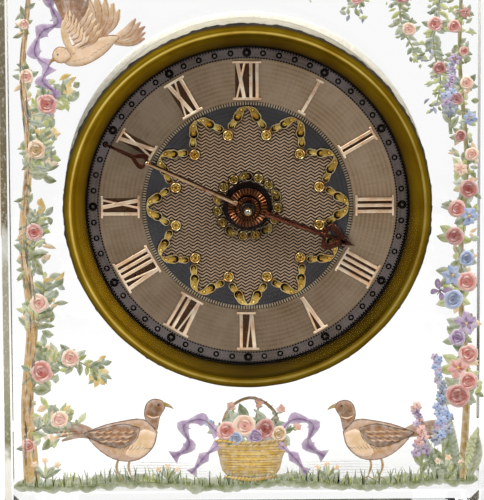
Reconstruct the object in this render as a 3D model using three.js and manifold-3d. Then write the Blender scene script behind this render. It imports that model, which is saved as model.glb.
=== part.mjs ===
// Glass mantel clock: a bevelled glass block with a key-wound clock let into a round hole through it.
// Millimetres, +Z up, dial towards -Y, origin on the block's base, below the dial and midway front to back.
import * as THREE from "three";
import { mergeVertices } from "three/addons/utils/BufferGeometryUtils.js";
import Module from "manifold-3d";

const wasm = await Module();
wasm.setup();

// Glass block
const blockWidth = 93;
const blockHeight = 122;
const blockDepth = 22;
const blockBevel = 1.6;
const blockOffset = 0.5; // the block's middle lies this far left of the dial's
const dialHeight = 61;
const holeRadius = 34;

// Clearances
const fitGap = 0.25; // between pieces that seat on or in each other
const runGap = 0.2; // round an arbor, pipe or pin in its hole
const sideGap = 0.5; // between a turning piece and the face beside it

// Bezel, crystal and packing
const bezelLip = 1;
const bezelRise = 1.9;
const bezelSide = 0.5;
const ridgeInset = 1.2;
const ridgeWidth = 0.5;
const rebateDepth = 0.9;
const seatWidth = 0.8;
const skirtWall = 0.6;
const skirtLength = 2.6;
const innerEdge = 0.4;
const gasketThickness = 0.5;
const gasketInset = 0.15;
const sleeveThickness = 0.5;
const crystalThickness = 1.1;
const crystalRim = 0.8;
const crystalHeadroom = 0.9;

// Dial and its applied ornament, from the bezel's edge inwards
const dialThickness = 0.8;
const dialSetback = 0.4;
const dialOverlap = 0.4;
const dotBandMargin = 0.3;
const dotBandWidth = 2;
const dotBandSink = 0.12;
const numeralMargin = 0.5;
const numeralHeight = 7.4;
const numeralThickness = 0.55;
const numeralBar = 0.62;
const numeralThick = 0.74;
const numeralThin = 0.38;
const numeralGap = 0.54;
const numeralSlantWidth = 2.1;
const serifHeight = 0.44;
const serifOverhang = 0.5;
const centreMargin = 0.45;
const centreSink = 0.15;
const hatchWidth = 0.65;
const reliefGap = 0.1; // under the applied ornament
const wreathMargin = 0.12;
const wreathThickness = 0.6;
const rosetteRingRadius = 5.7;
const rosetteRadius = 0.9;
const rosetteCount = 15;
const rosetteNeck = 0.4;
const dialFootRadius = 0.6;
const dialFootInset = 6;

// Hands
const hourHandLift = 1.6;
const handThickness = 0.5;
const handSpacing = 0.6;
const hourHubRadius = 3.55;
const hourShaftHalf = 0.36;
const hourHeadLength = 7.2;
const hourHeadHalf = 1.95;
const hourHeadRim = 0.5;
const hourTipLength = 2.9;
const hourReach = 1.4;
const minuteHubRadius = 2.35;
const minuteShaftHalf = 0.3;
const minuteHeadLength = 9;
const minuteHeadHalf = 1.1;
const minuteHeadRim = 0.34;
const minuteTipLength = 5.8;
const nutRadius = 1.35;
const nutHeight = 1.6;
const arborTipProud = 2.2;
const hourHandAngle = 110.3; // clockwise from twelve, as shown
const minuteHandAngle = 294.8;

// Drum case and the fittings behind the glass
const drumWall = 1;
const ledgeWidth = 1.6;
const ledgeThickness = 1.2;
const flangeWidth = 3.5;
const flangeThickness = 1.4;
const washerThickness = 0.8;
const washerInset = 0.25;
const retainerInset = 0.6;
const retainerThickness = 3;
const retainerNotchWidth = 3.2;
const retainerNotchDepth = 0.6;
const coverThickness = 1.2;
const coverInset = 0.4;
const coverHeadroom = 0.8;
const coverScrewRadius = 0.8;
const coverScrewHead = 1.5;
const coverScrewHeadHeight = 0.9;
const screwSlotWidth = 0.5;
const screwSlotDepth = 0.4;

// Frame of the movement
const plateThickness = 1.5;
const pillarLength = 13.5;
const pillarRadius = 1.5;
const pillarMargin = 0.9;
const pillarScrewRadius = 0.8;
const pillarScrewHead = 1.4;
const pillarScrewHeadHeight = 0.8;
const pillarScrewReach = 3;
const backPlateInset = 0.6;
const motionSpace = 3.8;

// Teeth and modules of the wheels and pinions
const barrelTeeth = 48;
const centrePinionLeaves = 8;
const barrelModule = 0.525;
const centreTeeth = 48;
const thirdPinionLeaves = 6;
const centreModule = 0.34;
const thirdTeeth = 45;
const fourthPinionLeaves = 6;
const thirdModule = 0.32;
const fourthTeeth = 48;
const escapePinionLeaves = 6;
const fourthModule = 0.26;
const cannonLeaves = 8;
const minuteWheelTeeth = 24;
const motionModule = 0.45;
const minutePinionLeaves = 6;
const hourWheelTeeth = 24;

// Train layers, measured back from the front plate, and wheel sizes
const wheelThickness = 0.7;
const pinionOverhang = 0.6;
const centreWheelDepth = 1.6;
const fourthWheelDepth = 3.9;
const barrelDepth = 4.5;
const thirdWheelDepth = 8.5;
const barrelFlange = 1.2;
const barrelWall = 1;
const barrelCapThickness = 0.6;
const barrelArborRadius = 1.6;
const windingSquareRadius = 1.1;
const mainspringTurns = 5;
const mainspringThickness = 0.35;
const springInset = 0.45;
const arborRadius = 0.5;
const pivotRadius = 0.35;
const escapeArborRadius = 0.35;
const finePivotRadius = 0.25;
const pivotLength = 1;
const centreArborRadius = 0.7;
const centreHubRadius = 1.3;
const cannonPipeRadius = 1.05;
const hourPipeRadius = 1.7;
const motionStudRadius = 0.6;

// Winding work and escapement behind the back plate
const ratchetTeeth = 20;
const ratchetRadius = 5.6;
const ratchetToothHeight = 0.8;
const ratchetThickness = 0.9;
const clickLead = 40; // degrees round the ratchet from the click's pin to its nose
const clickRadius = 1.1;
const clickPinRadius = 0.6;
const escapeTeeth = 15;
const escapeRadius = 3.6;
const escapeToothHeight = 1.1;
const escapeThickness = 0.7;
const leverArmHalf = 0.4;
const palletClearance = 0.4;
const palletSpread = 30; // degrees each side, seen from the escape wheel
const leverPivotRadius = 0.5;
const rollerRadius = 1.4;
const rollerThickness = 0.6;
const balanceRadius = 6.5;
const balanceRim = 0.9;
const balanceThickness = 1.2;
const balanceArmHalf = 0.5;
const balanceStaffRadius = 0.5;
const hairspringTurns = 5;
const hairspringOuter = 4;
const hairspringInner = 1.1;
const hairspringThickness = 0.14;
const hairspringHeight = 0.5;
const bridgeThickness = 1;
const bridgeHalf = 2.6;
const bridgePostRadius = 1.4;
const bridgeHeadReach = 7.5;
const bridgeTailReach = 10;
const indexThickness = 0.6;
const indexRadius = 1.8;
const indexArmLength = 6;
const indexArmHalf = 0.4;
const indexBossRadius = 1;

// Key and knob at the back
const keyClearance = 0.6;
const keyHubRadius = 2.4;
const keyHubLength = 5;
const keySocketDepth = 3.6;
const keyWingSpan = 15;
const keyWingLength = 8;
const keyWingHalf = 0.8;
const keyEyeRadius = 1.8;
const knobRadius = 3.6;
const knobThickness = 3.4;
const knobFlutes = 16;
const knobFluteDepth = 0.35;
const knobSocketDepth = 2.4;

// Facets round a full turn
const ringSides = 32;
const wheelSides = 16;
const pinSides = 8;
const springSteps = 8;
const curveSteps = 5;

// Radii from the hole inwards
const bezelOuter = holeRadius + bezelLip;
const drumOuter = holeRadius - sleeveThickness - 2 * fitGap;
const drumInner = drumOuter - drumWall;
const skirtOuter = drumInner - fitGap;
const skirtInner = skirtOuter - skirtWall;
const dialRadius = skirtInner - fitGap;
const apertureRadius = dialRadius - dialOverlap;
const ridgeRadius = bezelOuter - ridgeInset;
const rebateRadius = ridgeRadius - ridgeWidth;
const crystalRadius = rebateRadius - fitGap;
const dotBandOuter = apertureRadius - dotBandMargin;
const dotBandInner = dotBandOuter - dotBandWidth;
const minuteTrackRadius = dotBandOuter - dotBandWidth / 2;
const numeralOuter = dotBandInner - numeralMargin;
const numeralInner = numeralOuter - numeralHeight;
const centreRadius = numeralInner - centreMargin;
const wreathTipRadius = centreRadius - hatchWidth - wreathMargin;
const ledgeInner = drumInner - ledgeWidth;
const flangeInner = drumInner - flangeWidth;
const frontPlateRadius = drumInner - fitGap;
const backPlateRadius = ledgeInner - backPlateInset;
const pillarPlaceRadius = ledgeInner - pillarRadius - pillarMargin;

// Stack along the dial's axis: 0 is the glass front, towards the viewer is positive
const lipUnder = 2 * fitGap + gasketThickness;
const ridgeFront = lipUnder + bezelRise;
const seatFront = ridgeFront - rebateDepth;
const dialFace = -dialSetback;
const dialBack = dialFace - dialThickness;
const hourHandBack = dialFace + hourHandLift;
const minuteHandBack = hourHandBack + handThickness + handSpacing;
const nutBack = minuteHandBack + handThickness + fitGap;
const arborTip = nutBack + nutHeight + arborTipProud;
const frontPlateFront = dialBack - motionSpace;
const frontPlateBack = frontPlateFront - plateThickness;
const backPlateFront = frontPlateBack - pillarLength;
const backPlateBack = backPlateFront - plateThickness;
const escapeFront = backPlateBack - sideGap;
const rollerFront = escapeFront - escapeThickness - sideGap;
const balanceFront = rollerFront - rollerThickness;
const hairspringFront = balanceFront - balanceThickness - sideGap;
const bridgeFront = hairspringFront - hairspringHeight - sideGap;
const bridgeBack = bridgeFront - bridgeThickness;
const indexFront = bridgeBack - fitGap;
const coverFront = indexFront - indexThickness - coverHeadroom;
const coverBack = coverFront - coverThickness;
const drumBack = coverFront + fitGap;
const flangeFront = drumBack + flangeThickness;
const keyFront = coverBack - keyClearance;
// Both pairs of the motion work turn on the same two axes
const motionTeeth = cannonLeaves + minuteWheelTeeth;
const hourModule = (motionModule * motionTeeth) / (minutePinionLeaves + hourWheelTeeth);
const leverDistance = escapeRadius + palletClearance + leverPivotRadius;
const leverLength = balanceRadius + escapeArborRadius + sideGap;

// Corners of a wheel tooth and of a pinion leaf:
// [height from the pitch circle in modules, share of the pitch]
const toothDedendum = 1;
const toothForm = [[-toothDedendum, -0.24], [0.85, 0], [-toothDedendum, 0.24]];
const leafForm = [[-1.15, -0.13], [0.55, -0.12], [0.55, 0.12], [-1.15, 0.13]];

const radians = THREE.MathUtils.degToRad;

// A point at a distance and an angle counter-clockwise from three o'clock
function polar(distance, degrees, from = new THREE.Vector2()) {
  const angle = radians(degrees);
  return new THREE.Vector2(from.x + distance * Math.cos(angle), from.y + distance * Math.sin(angle));
}

// A point on the dial at a radius and an angle clockwise from twelve
function onDial(radius, degrees) {
  return polar(radius, 90 - degrees);
}

// A closed geometry as a solid that can be joined and cut
function solid(geometry) {
  const bare = geometry.clone();
  bare.deleteAttribute("normal");
  bare.deleteAttribute("uv");
  const merged = mergeVertices(bare, 1e-4);
  return new wasm.Manifold(
    new wasm.Mesh({
      numProp: 3,
      vertProperties: merged.attributes.position.array,
      triVerts: new Uint32Array(merged.index.array),
    }),
  );
}

// The faces of a solid as a geometry again
function geometryOf(made) {
  const mesh = made.getMesh();
  const geometry = new THREE.BufferGeometry();
  geometry.setAttribute("position", new THREE.BufferAttribute(mesh.vertProperties, 3));
  geometry.setIndex(new THREE.BufferAttribute(mesh.triVerts, 1));
  return geometry;
}

function join(...geometries) {
  return geometryOf(geometries.map(solid).reduce((whole, next) => whole.add(next)));
}

function cut(geometry, ...tools) {
  return geometryOf(tools.map(solid).reduce((whole, tool) => whole.subtract(tool), solid(geometry)));
}

// A profile of [radius, z] points turned round the axis, listed counter-clockwise
function turned(profile, sides) {
  const points = profile.map(([radius, z]) => new THREE.Vector2(radius, z));
  return new THREE.LatheGeometry(points, sides).rotateX(Math.PI / 2);
}

function ring(inner, outer, back, front, sides) {
  return turned([[inner, back], [outer, back], [outer, front], [inner, front], [inner, back]], sides);
}

function rod(radius, back, front, sides = pinSides) {
  return turned([[0, back], [radius, back], [radius, front], [0, front]], sides);
}

function rodAt(place, radius, back, front, sides = pinSides) {
  return rod(radius, back, front, sides).translate(place.x, place.y, 0);
}

// A shaft of rods of different radii, listed from the back as [radius, front end]
function shaft(back, steps) {
  const profile = [[0, back]];
  let start = back;
  for (const [radius, front] of steps) {
    profile.push([radius, start], [radius, front]);
    start = front;
  }
  profile.push([0, start]);
  return turned(profile, pinSides);
}

function slab(shape, back, front) {
  const options = { depth: front - back, bevelEnabled: false, curveSegments: curveSteps };
  return new THREE.ExtrudeGeometry(shape, options).translate(0, 0, back);
}

function outline(points) {
  return new THREE.Shape(points.map(([x, y]) => new THREE.Vector2(x, y)));
}

function rectangle(left, right, low, high) {
  return outline([[left, low], [right, low], [right, high], [left, high]]);
}

// Outline of a wheel or pinion with a tooth centred on angle zero
function toothed(teeth, module, form) {
  const pitchRadius = (teeth * module) / 2;
  const pitch = (2 * Math.PI) / teeth;
  const points = [];
  for (let tooth = 0; tooth < teeth; tooth++) {
    for (const [height, share] of form) {
      const radius = pitchRadius + height * module;
      const angle = (tooth + share) * pitch;
      points.push([radius * Math.cos(angle), radius * Math.sin(angle)]);
    }
  }
  return outline(points);
}

// Turn of a driven gear whose gap meets the driver's tooth on the line between their centres
function meshTurn(direction, driverTurn, driverTeeth, drivenTeeth) {
  const lead = (direction - driverTurn) * (driverTeeth / drivenTeeth);
  return direction + Math.PI + lead - Math.PI / drivenTeeth;
}

function centreDistance(teeth, otherTeeth, module) {
  return ((teeth + otherTeeth) * module) / 2;
}

// Spiral strip from an inner to an outer radius
function spiral({ inner, outer, turns, thickness }, back, front) {
  const steps = turns * springSteps;
  const side = (offset) =>
    Array.from({ length: steps + 1 }, (_, step) => {
      const radius = inner + ((outer - inner) * step) / steps + offset;
      const angle = (2 * Math.PI * step) / springSteps;
      return [radius * Math.cos(angle), radius * Math.sin(angle)];
    });
  return slab(outline([...side(thickness / 2), ...side(-thickness / 2).reverse()]), back, front);
}

const materials = {
  glass: { color: 0xdfe3dc, roughness: 0.03, metalness: 0, transparent: true, opacity: 0.35 },
  felt: { color: 0xd6d2c1, roughness: 0.95, metalness: 0 },
  gasket: { color: 0x2a221a, roughness: 0.9, metalness: 0 },
  gilt: { color: 0x836f2c, roughness: 0.32, metalness: 1 },
  silver: { color: 0x8a7a66, roughness: 0.5, metalness: 0.8 },
  rose: { color: 0xc79a7a, roughness: 0.3, metalness: 1 },
  gold: { color: 0xa48022, roughness: 0.35, metalness: 1 },
  copper: { color: 0x9a5a42, roughness: 0.35, metalness: 1 },
  brass: { color: 0xb08d4a, roughness: 0.4, metalness: 1 },
  steel: { color: 0x8c8f92, roughness: 0.3, metalness: 1 },
  spring: { color: 0x3d4a63, roughness: 0.3, metalness: 1 },
};

const clock = new THREE.Group();
const head = new THREE.Group();
head.position.set(0, -blockDepth / 2, dialHeight);
head.rotation.x = Math.PI / 2;
clock.add(head);

// Adds a named piece at a place on the dial plane, turned about its own axis
function piece(name, finish, geometry, place = new THREE.Vector2(), turn = 0) {
  const faceted = geometry.index ? geometry.toNonIndexed() : geometry;
  faceted.computeVertexNormals();
  const mesh = new THREE.Mesh(faceted, new THREE.MeshStandardMaterial(materials[finish]));
  mesh.name = name;
  mesh.position.set(place.x, place.y, 0);
  mesh.rotation.z = turn;
  head.add(mesh);
}

// Places of the arbors on the plates
const barrelDirection = 225;
const thirdDirection = 50;
const fourthDirection = -20;
const escapeDirection = -60;
const leverDirection = -125;
const motionDirection = 135;
const barrelPlace = polar(centreDistance(barrelTeeth, centrePinionLeaves, barrelModule), barrelDirection);
const thirdPlace = polar(centreDistance(centreTeeth, thirdPinionLeaves, centreModule), thirdDirection);
const fourthDistance = centreDistance(thirdTeeth, fourthPinionLeaves, thirdModule);
const fourthPlace = polar(fourthDistance, fourthDirection, thirdPlace);
const escapeDistance = centreDistance(fourthTeeth, escapePinionLeaves, fourthModule);
const escapePlace = polar(escapeDistance, escapeDirection, fourthPlace);
const leverPlace = polar(leverDistance, leverDirection, escapePlace);
const balancePlace = polar(leverLength, leverDirection, leverPlace);
const bridgeHeadPlace = polar(-bridgeHeadReach, leverDirection, escapePlace);
const bridgeTailPlace = polar(bridgeTailReach, leverDirection, balancePlace);
const motionPlace = polar(centreDistance(cannonLeaves, minuteWheelTeeth, motionModule), motionDirection);
const clickDistance = ratchetRadius + 2 * clickRadius;
const clickPlace = polar(clickDistance, motionDirection, barrelPlace);
const pillarDirections = [15, 105, 165, 285];
const pillarPlaces = pillarDirections.map((degrees) => polar(pillarPlaceRadius, degrees));
const dialFeet = [30, 150, 270].map((degrees) => polar(dialRadius - dialFootInset, degrees));
const coverScrewPlaces = [60, 180, 300].map((degrees) => polar((flangeInner + drumInner) / 2, degrees));

// Turns that bring the teeth into mesh
const thirdTurn = meshTurn(radians(thirdDirection), 0, centreTeeth, thirdPinionLeaves);
const fourthTurn = meshTurn(radians(fourthDirection), thirdTurn, thirdTeeth, fourthPinionLeaves);
const escapeTurn = meshTurn(radians(escapeDirection), fourthTurn, fourthTeeth, escapePinionLeaves);
const barrelTurn = meshTurn(radians(barrelDirection), 0, centrePinionLeaves, barrelTeeth);
const motionTurn = meshTurn(radians(motionDirection), 0, cannonLeaves, minuteWheelTeeth);
const hourDirection = radians(motionDirection + 180);
const hourTurn = meshTurn(hourDirection, motionTurn, minutePinionLeaves, hourWheelTeeth);

function addGlassBlock() {
  const half = blockWidth / 2;
  const low = -dialHeight;
  const high = blockHeight - dialHeight;
  const inset = blockBevel;
  const face = outline([
    [-half + inset, low + 2 * inset],
    [-half + 2 * inset, low + inset],
    [half - 2 * inset, low + inset],
    [half - inset, low + 2 * inset],
    [half - inset, high - 2 * inset],
    [half - 2 * inset, high - inset],
    [-half + 2 * inset, high - inset],
    [-half + inset, high - 2 * inset],
  ]);
  const body = new THREE.ExtrudeGeometry(face, {
    depth: blockDepth - 2 * blockBevel,
    bevelThickness: blockBevel,
    bevelSize: blockBevel,
    bevelSegments: 1,
  });
  body.translate(-blockOffset, 0, blockBevel - blockDepth);
  piece("glass_block", "glass", cut(body, rod(holeRadius, -blockDepth - 1, 1, ringSides)));
}

function addBezel() {
  const under = dialFace + fitGap;
  const sideTop = lipUnder + bezelSide;
  const seatInner = rebateRadius - seatWidth;
  const crownRise = ridgeFront - sideTop;
  const profile = [
    [apertureRadius, under],
    [skirtInner, under],
    [skirtInner, under - skirtLength],
    [skirtOuter, under - skirtLength],
    [skirtOuter, lipUnder],
    [bezelOuter, lipUnder],
    [bezelOuter, sideTop],
    [bezelOuter - 0.2 * ridgeInset, sideTop + 0.6 * crownRise],
    [bezelOuter - 0.55 * ridgeInset, sideTop + 0.9 * crownRise],
    [ridgeRadius, ridgeFront],
    [rebateRadius, ridgeFront],
    [rebateRadius, seatFront],
    [seatInner, seatFront],
    [apertureRadius, under + innerEdge],
    [apertureRadius, under],
  ];
  piece("bezel", "gilt", turned(profile, ringSides));
  const gasketInner = holeRadius + gasketInset;
  const gasketOuter = bezelOuter - gasketInset;
  piece("bezel_gasket", "gasket", ring(gasketInner, gasketOuter, fitGap, lipUnder - fitGap, ringSides));
  const sleeveOuter = holeRadius - fitGap;
  piece("packing_sleeve", "felt", ring(drumOuter + fitGap, sleeveOuter, -blockDepth, 0, ringSides));
}

// Domed glass: two arcs that end at the rim
function addCrystal() {
  const rimBack = seatFront + fitGap;
  const rimFront = rimBack + crystalRim;
  const innerRadius = crystalRadius - seatWidth;
  const innerApex = arborTip + crystalHeadroom;
  const outerApex = innerApex + crystalThickness;
  const arcSteps = 4;
  const dome = (chord, base, apex) =>
    Array.from({ length: arcSteps + 1 }, (_, step) => {
      const rise = apex - base;
      const sphere = (chord * chord + rise * rise) / (2 * rise);
      const radius = (chord * step) / arcSteps;
      return [radius, apex - sphere + Math.sqrt(sphere * sphere - radius * radius)];
    });
  const inside = dome(innerRadius, rimBack, innerApex);
  const outside = dome(crystalRadius, rimFront, outerApex).reverse();
  piece("crystal", "glass", turned([...inside, [crystalRadius, rimBack], ...outside], ringSides));
}

function addDial() {
  const holeInDial = hourPipeRadius + runGap + fitGap;
  const profile = [
    [holeInDial, dialBack],
    [dialRadius, dialBack],
    [dialRadius, dialFace],
    [dotBandOuter, dialFace],
    [dotBandOuter, dialFace - dotBandSink],
    [dotBandInner, dialFace - dotBandSink],
    [dotBandInner, dialFace],
    [centreRadius, dialFace],
    [centreRadius, dialFace - centreSink],
    [holeInDial, dialFace - centreSink],
    [holeInDial, dialBack],
  ];
  const footBack = frontPlateFront - plateThickness / 2;
  const footFront = dialBack + dialThickness / 2;
  const feet = dialFeet.map((place) => rodAt(place, dialFootRadius, footBack, footFront));
  piece("dial", "silver", join(turned(profile, ringSides), ...feet));
}

// Strokes of a letter as [foot, head, width] along the line, with the letter's own width
const letters = {
  I: { width: numeralBar, strokes: [[0.5, 0.5, numeralBar]] },
  V: { width: numeralSlantWidth, strokes: [[0.5, 0.18, numeralThick], [0.5, 0.9, numeralThin]] },
  X: { width: numeralSlantWidth, strokes: [[0.84, 0.16, numeralThick], [0.1, 0.9, numeralThin]] },
};

// A Roman numeral of straight strokes between two serif bars, its middle at the origin
function numeral(text, back, front) {
  const glyphs = [...text].map((letter) => letters[letter]);
  const length = glyphs.reduce((sum, glyph) => sum + glyph.width, (glyphs.length - 1) * numeralGap);
  const high = numeralHeight / 2;
  const bars = [];
  const feet = [];
  const heads = [];
  let left = -length / 2;
  for (const glyph of glyphs) {
    for (const [foot, top, width] of glyph.strokes) {
      const low = left + foot * glyph.width;
      const up = left + top * glyph.width;
      const half = width / 2;
      const stroke = [[low - half, -high], [low + half, -high], [up + half, high], [up - half, high]];
      bars.push(slab(outline(stroke), back, front));
      feet.push(low - half, low + half);
      heads.push(up - half, up + half);
    }
    left += glyph.width + numeralGap;
  }
  const serif = (ends, low, top) => {
    const from = Math.min(...ends) - serifOverhang;
    const to = Math.max(...ends) + serifOverhang;
    return slab(rectangle(from, to, low, top), back, front);
  };
  bars.push(serif(heads, high - serifHeight, high));
  if (text !== "V") bars.push(serif(feet, -high, serifHeight - high));
  return join(...bars);
}

function addNumerals() {
  const texts = ["I", "II", "III", "IIII", "V", "VI", "VII", "VIII", "IX", "X", "XI", "XII"];
  const back = dialFace + reliefGap;
  const radius = (numeralOuter + numeralInner) / 2;
  texts.forEach((text, index) => {
    const degrees = (index + 1) * 30;
    const shape = numeral(text, back, back + numeralThickness);
    piece(`numeral_${index + 1}`, "rose", shape, onDial(radius, degrees), -radians(degrees));
  });
}

// A closed line round the dial: copies of half a lobe and its mirror image,
// listed as [radius, degrees] from the lobe's middle
function lobed(half, count) {
  const step = 360 / count;
  const points = [];
  for (let lobe = 0; lobe < count; lobe++) {
    const mirrored = half.filter(([, spread]) => spread > 0 && spread < step / 2).reverse();
    for (const [radius, spread] of mirrored) points.push(onDial(radius, lobe * step - spread));
    for (const [radius, spread] of half) points.push(onDial(radius, lobe * step + spread));
  }
  return points.reverse(); // counter-clockwise
}

// Twelve pairs of scrolls that meet in points at the hours, with a rosette between each two pairs
function addDialWreath() {
  const back = dialFace - centreSink + reliefGap;
  const tip = wreathTipRadius;
  const outer = [[0, 0.7], [0.5, 4.2], [1.8, 8.6], [2.8, 10], [3.2, 13.4], [3.9, 15]];
  const scrolls = [[0.9, 0], [2, 2.4], [3.2, 4.2], [3.4, 7.2], [4.5, 10.2]];
  const inner = [...scrolls, [4.8, 12.6], [5.7, 11.6], [6.3, 15]];
  const fromTip = (edge) => lobed(edge.map(([inset, spread]) => [tip - inset, spread]), 12);
  const shape = new THREE.Shape(fromTip(outer));
  shape.holes.push(new THREE.Path(fromTip(inner)));
  piece("dial_wreath", "gold", slab(shape, back, back + wreathThickness));
}

// Ring of rosettes joined side by side round the hands
function addRosetteRing() {
  const back = dialFace - centreSink + reliefGap;
  const step = 360 / rosetteCount;
  const edge = (sign) => {
    const half = [[sign * rosetteRadius, 0.24 * step], [sign * rosetteNeck, 0.4 * step]];
    return lobed(half.map(([out, spread]) => [rosetteRingRadius + out, spread]), rosetteCount);
  };
  const shape = new THREE.Shape(edge(1));
  shape.holes.push(new THREE.Path(edge(-1)));
  piece("rosette_ring", "gold", slab(shape, back, back + wreathThickness));
}

// Spade from one point to another along +y, widest near its start and hollowed towards its end
function spade(low, high, half) {
  const shape = new THREE.Shape();
  const waist = (low + high) / 2;
  shape.moveTo(0, low);
  shape.bezierCurveTo(2 * half, low, half, waist, 0, high);
  shape.bezierCurveTo(-half, waist, -2 * half, low, 0, low);
  return shape;
}

// A pierced hand pointing up: hub, straight shaft, bead, open spade with a spine and a slender tip
function hand(size, back) {
  const front = back + handThickness;
  const headStart = size.length - size.headLength;
  const spadeEnd = size.length - size.tipLength;
  const open = spade(headStart, spadeEnd + size.rim, size.half + size.rim / 2);
  const inner = spade(headStart + size.rim, spadeEnd - size.rim, size.half - size.rim);
  open.holes.push(new THREE.Path(inner.getPoints(curveSteps).slice(0, -1)));
  const tipHalf = 1.6 * size.shaftHalf;
  const tip = outline([[-tipHalf, spadeEnd - size.rim], [tipHalf, spadeEnd - size.rim], [0, size.length]]);
  const spineHalf = size.rim / 2;
  const bars = join(
    rod(size.hubRadius, back, front, wheelSides),
    slab(rectangle(-size.shaftHalf, size.shaftHalf, 0, headStart + size.rim), back, front),
    rodAt(new THREE.Vector2(0, headStart), 2 * size.shaftHalf, back, front),
    slab(open, back, front),
    slab(rectangle(-spineHalf, spineHalf, headStart, spadeEnd), back, front),
    slab(tip, back, front),
  );
  return cut(bars, rod(size.bore, back - 1, front + 1));
}

function addHands() {
  const hourHand = {
    length: numeralInner + hourReach,
    hubRadius: hourHubRadius,
    shaftHalf: hourShaftHalf,
    headLength: hourHeadLength,
    tipLength: hourTipLength,
    half: hourHeadHalf,
    rim: hourHeadRim,
    bore: hourPipeRadius + runGap,
  };
  const minuteHand = {
    length: minuteTrackRadius,
    hubRadius: minuteHubRadius,
    shaftHalf: minuteShaftHalf,
    headLength: minuteHeadLength,
    tipLength: minuteTipLength,
    half: minuteHeadHalf,
    rim: minuteHeadRim,
    bore: cannonPipeRadius + runGap,
  };
  const origin = new THREE.Vector2();
  piece("hour_hand", "copper", hand(hourHand, hourHandBack), origin, -radians(hourHandAngle));
  piece("minute_hand", "copper", hand(minuteHand, minuteHandBack), origin, -radians(minuteHandAngle));
  const nutBore = centreArborRadius + runGap;
  piece("hand_nut", "steel", ring(nutBore, nutRadius, nutBack, nutBack + nutHeight, pinSides));
}

function addDrum() {
  const ledgeFront = frontPlateBack - fitGap;
  const ledgeBack = ledgeFront - ledgeThickness;
  const front = lipUnder - fitGap;
  const profile = [
    [drumOuter, drumBack],
    [drumOuter, front],
    [drumInner, front],
    [drumInner, ledgeFront],
    [ledgeInner, ledgeFront],
    [ledgeInner, ledgeBack],
    [drumInner, ledgeBack],
    [drumInner, flangeFront],
    [flangeInner, flangeFront],
    [flangeInner, drumBack],
    [drumOuter, drumBack],
  ];
  const hole = coverScrewRadius + runGap;
  const screwHoles = coverScrewPlaces.map((place) => rodAt(place, hole, drumBack - 1, flangeFront + 1));
  piece("drum_case", "brass", cut(turned(profile, ringSides), ...screwHoles));
}

function addRearFittings() {
  const bore = drumOuter + fitGap;
  const retainerOuter = bezelOuter - retainerInset;
  const washerFront = -blockDepth - fitGap;
  const washerBack = washerFront - washerThickness;
  const retainerFront = washerBack - fitGap;
  const retainerBack = retainerFront - retainerThickness;
  piece("rear_washer", "felt", ring(bore, bezelOuter - washerInset, washerBack, washerFront, ringSides));
  const half = retainerNotchWidth / 2;
  const notches = [0, 90, 180, 270].map((degrees) => {
    const shape = rectangle(retainerOuter - retainerNotchDepth, retainerOuter + 1, -half, half);
    return slab(shape, retainerBack - 1, retainerFront + 1).rotateZ(radians(degrees));
  });
  const retainer = ring(bore, retainerOuter, retainerBack, retainerFront, ringSides);
  piece("retaining_ring", "brass", cut(retainer, ...notches));

  const coverRadius = drumOuter - coverInset;
  const hole = coverScrewRadius + runGap;
  const holes = [
    rod(centreArborRadius + sideGap, coverBack - 1, coverFront + 1, wheelSides),
    rodAt(barrelPlace, windingSquareRadius + sideGap, coverBack - 1, coverFront + 1, wheelSides),
    ...coverScrewPlaces.map((place) => rodAt(place, hole, coverBack - 1, coverFront + 1)),
  ];
  piece("rear_cover", "brass", cut(rod(coverRadius, coverBack, coverFront, ringSides), ...holes));
  const seat = coverBack - fitGap;
  coverScrewPlaces.forEach((place, index) => {
    const screw = slottedScrew(coverScrewHead, coverScrewHeadHeight, coverScrewRadius, seat, flangeFront);
    piece(`cover_screw_${index + 1}`, "steel", screw, place);
  });
}

// A slotted screw whose head lies behind its seat and whose shank runs forward
function slottedScrew(headRadius, headHeight, shankRadius, seat, tip) {
  const head = seat - headHeight;
  const body = shaft(head, [[headRadius, seat], [shankRadius, tip]]);
  const half = screwSlotWidth / 2;
  const slot = slab(rectangle(-2 * headRadius, 2 * headRadius, -half, half), head - 1, head + screwSlotDepth);
  return cut(body, slot);
}

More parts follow.
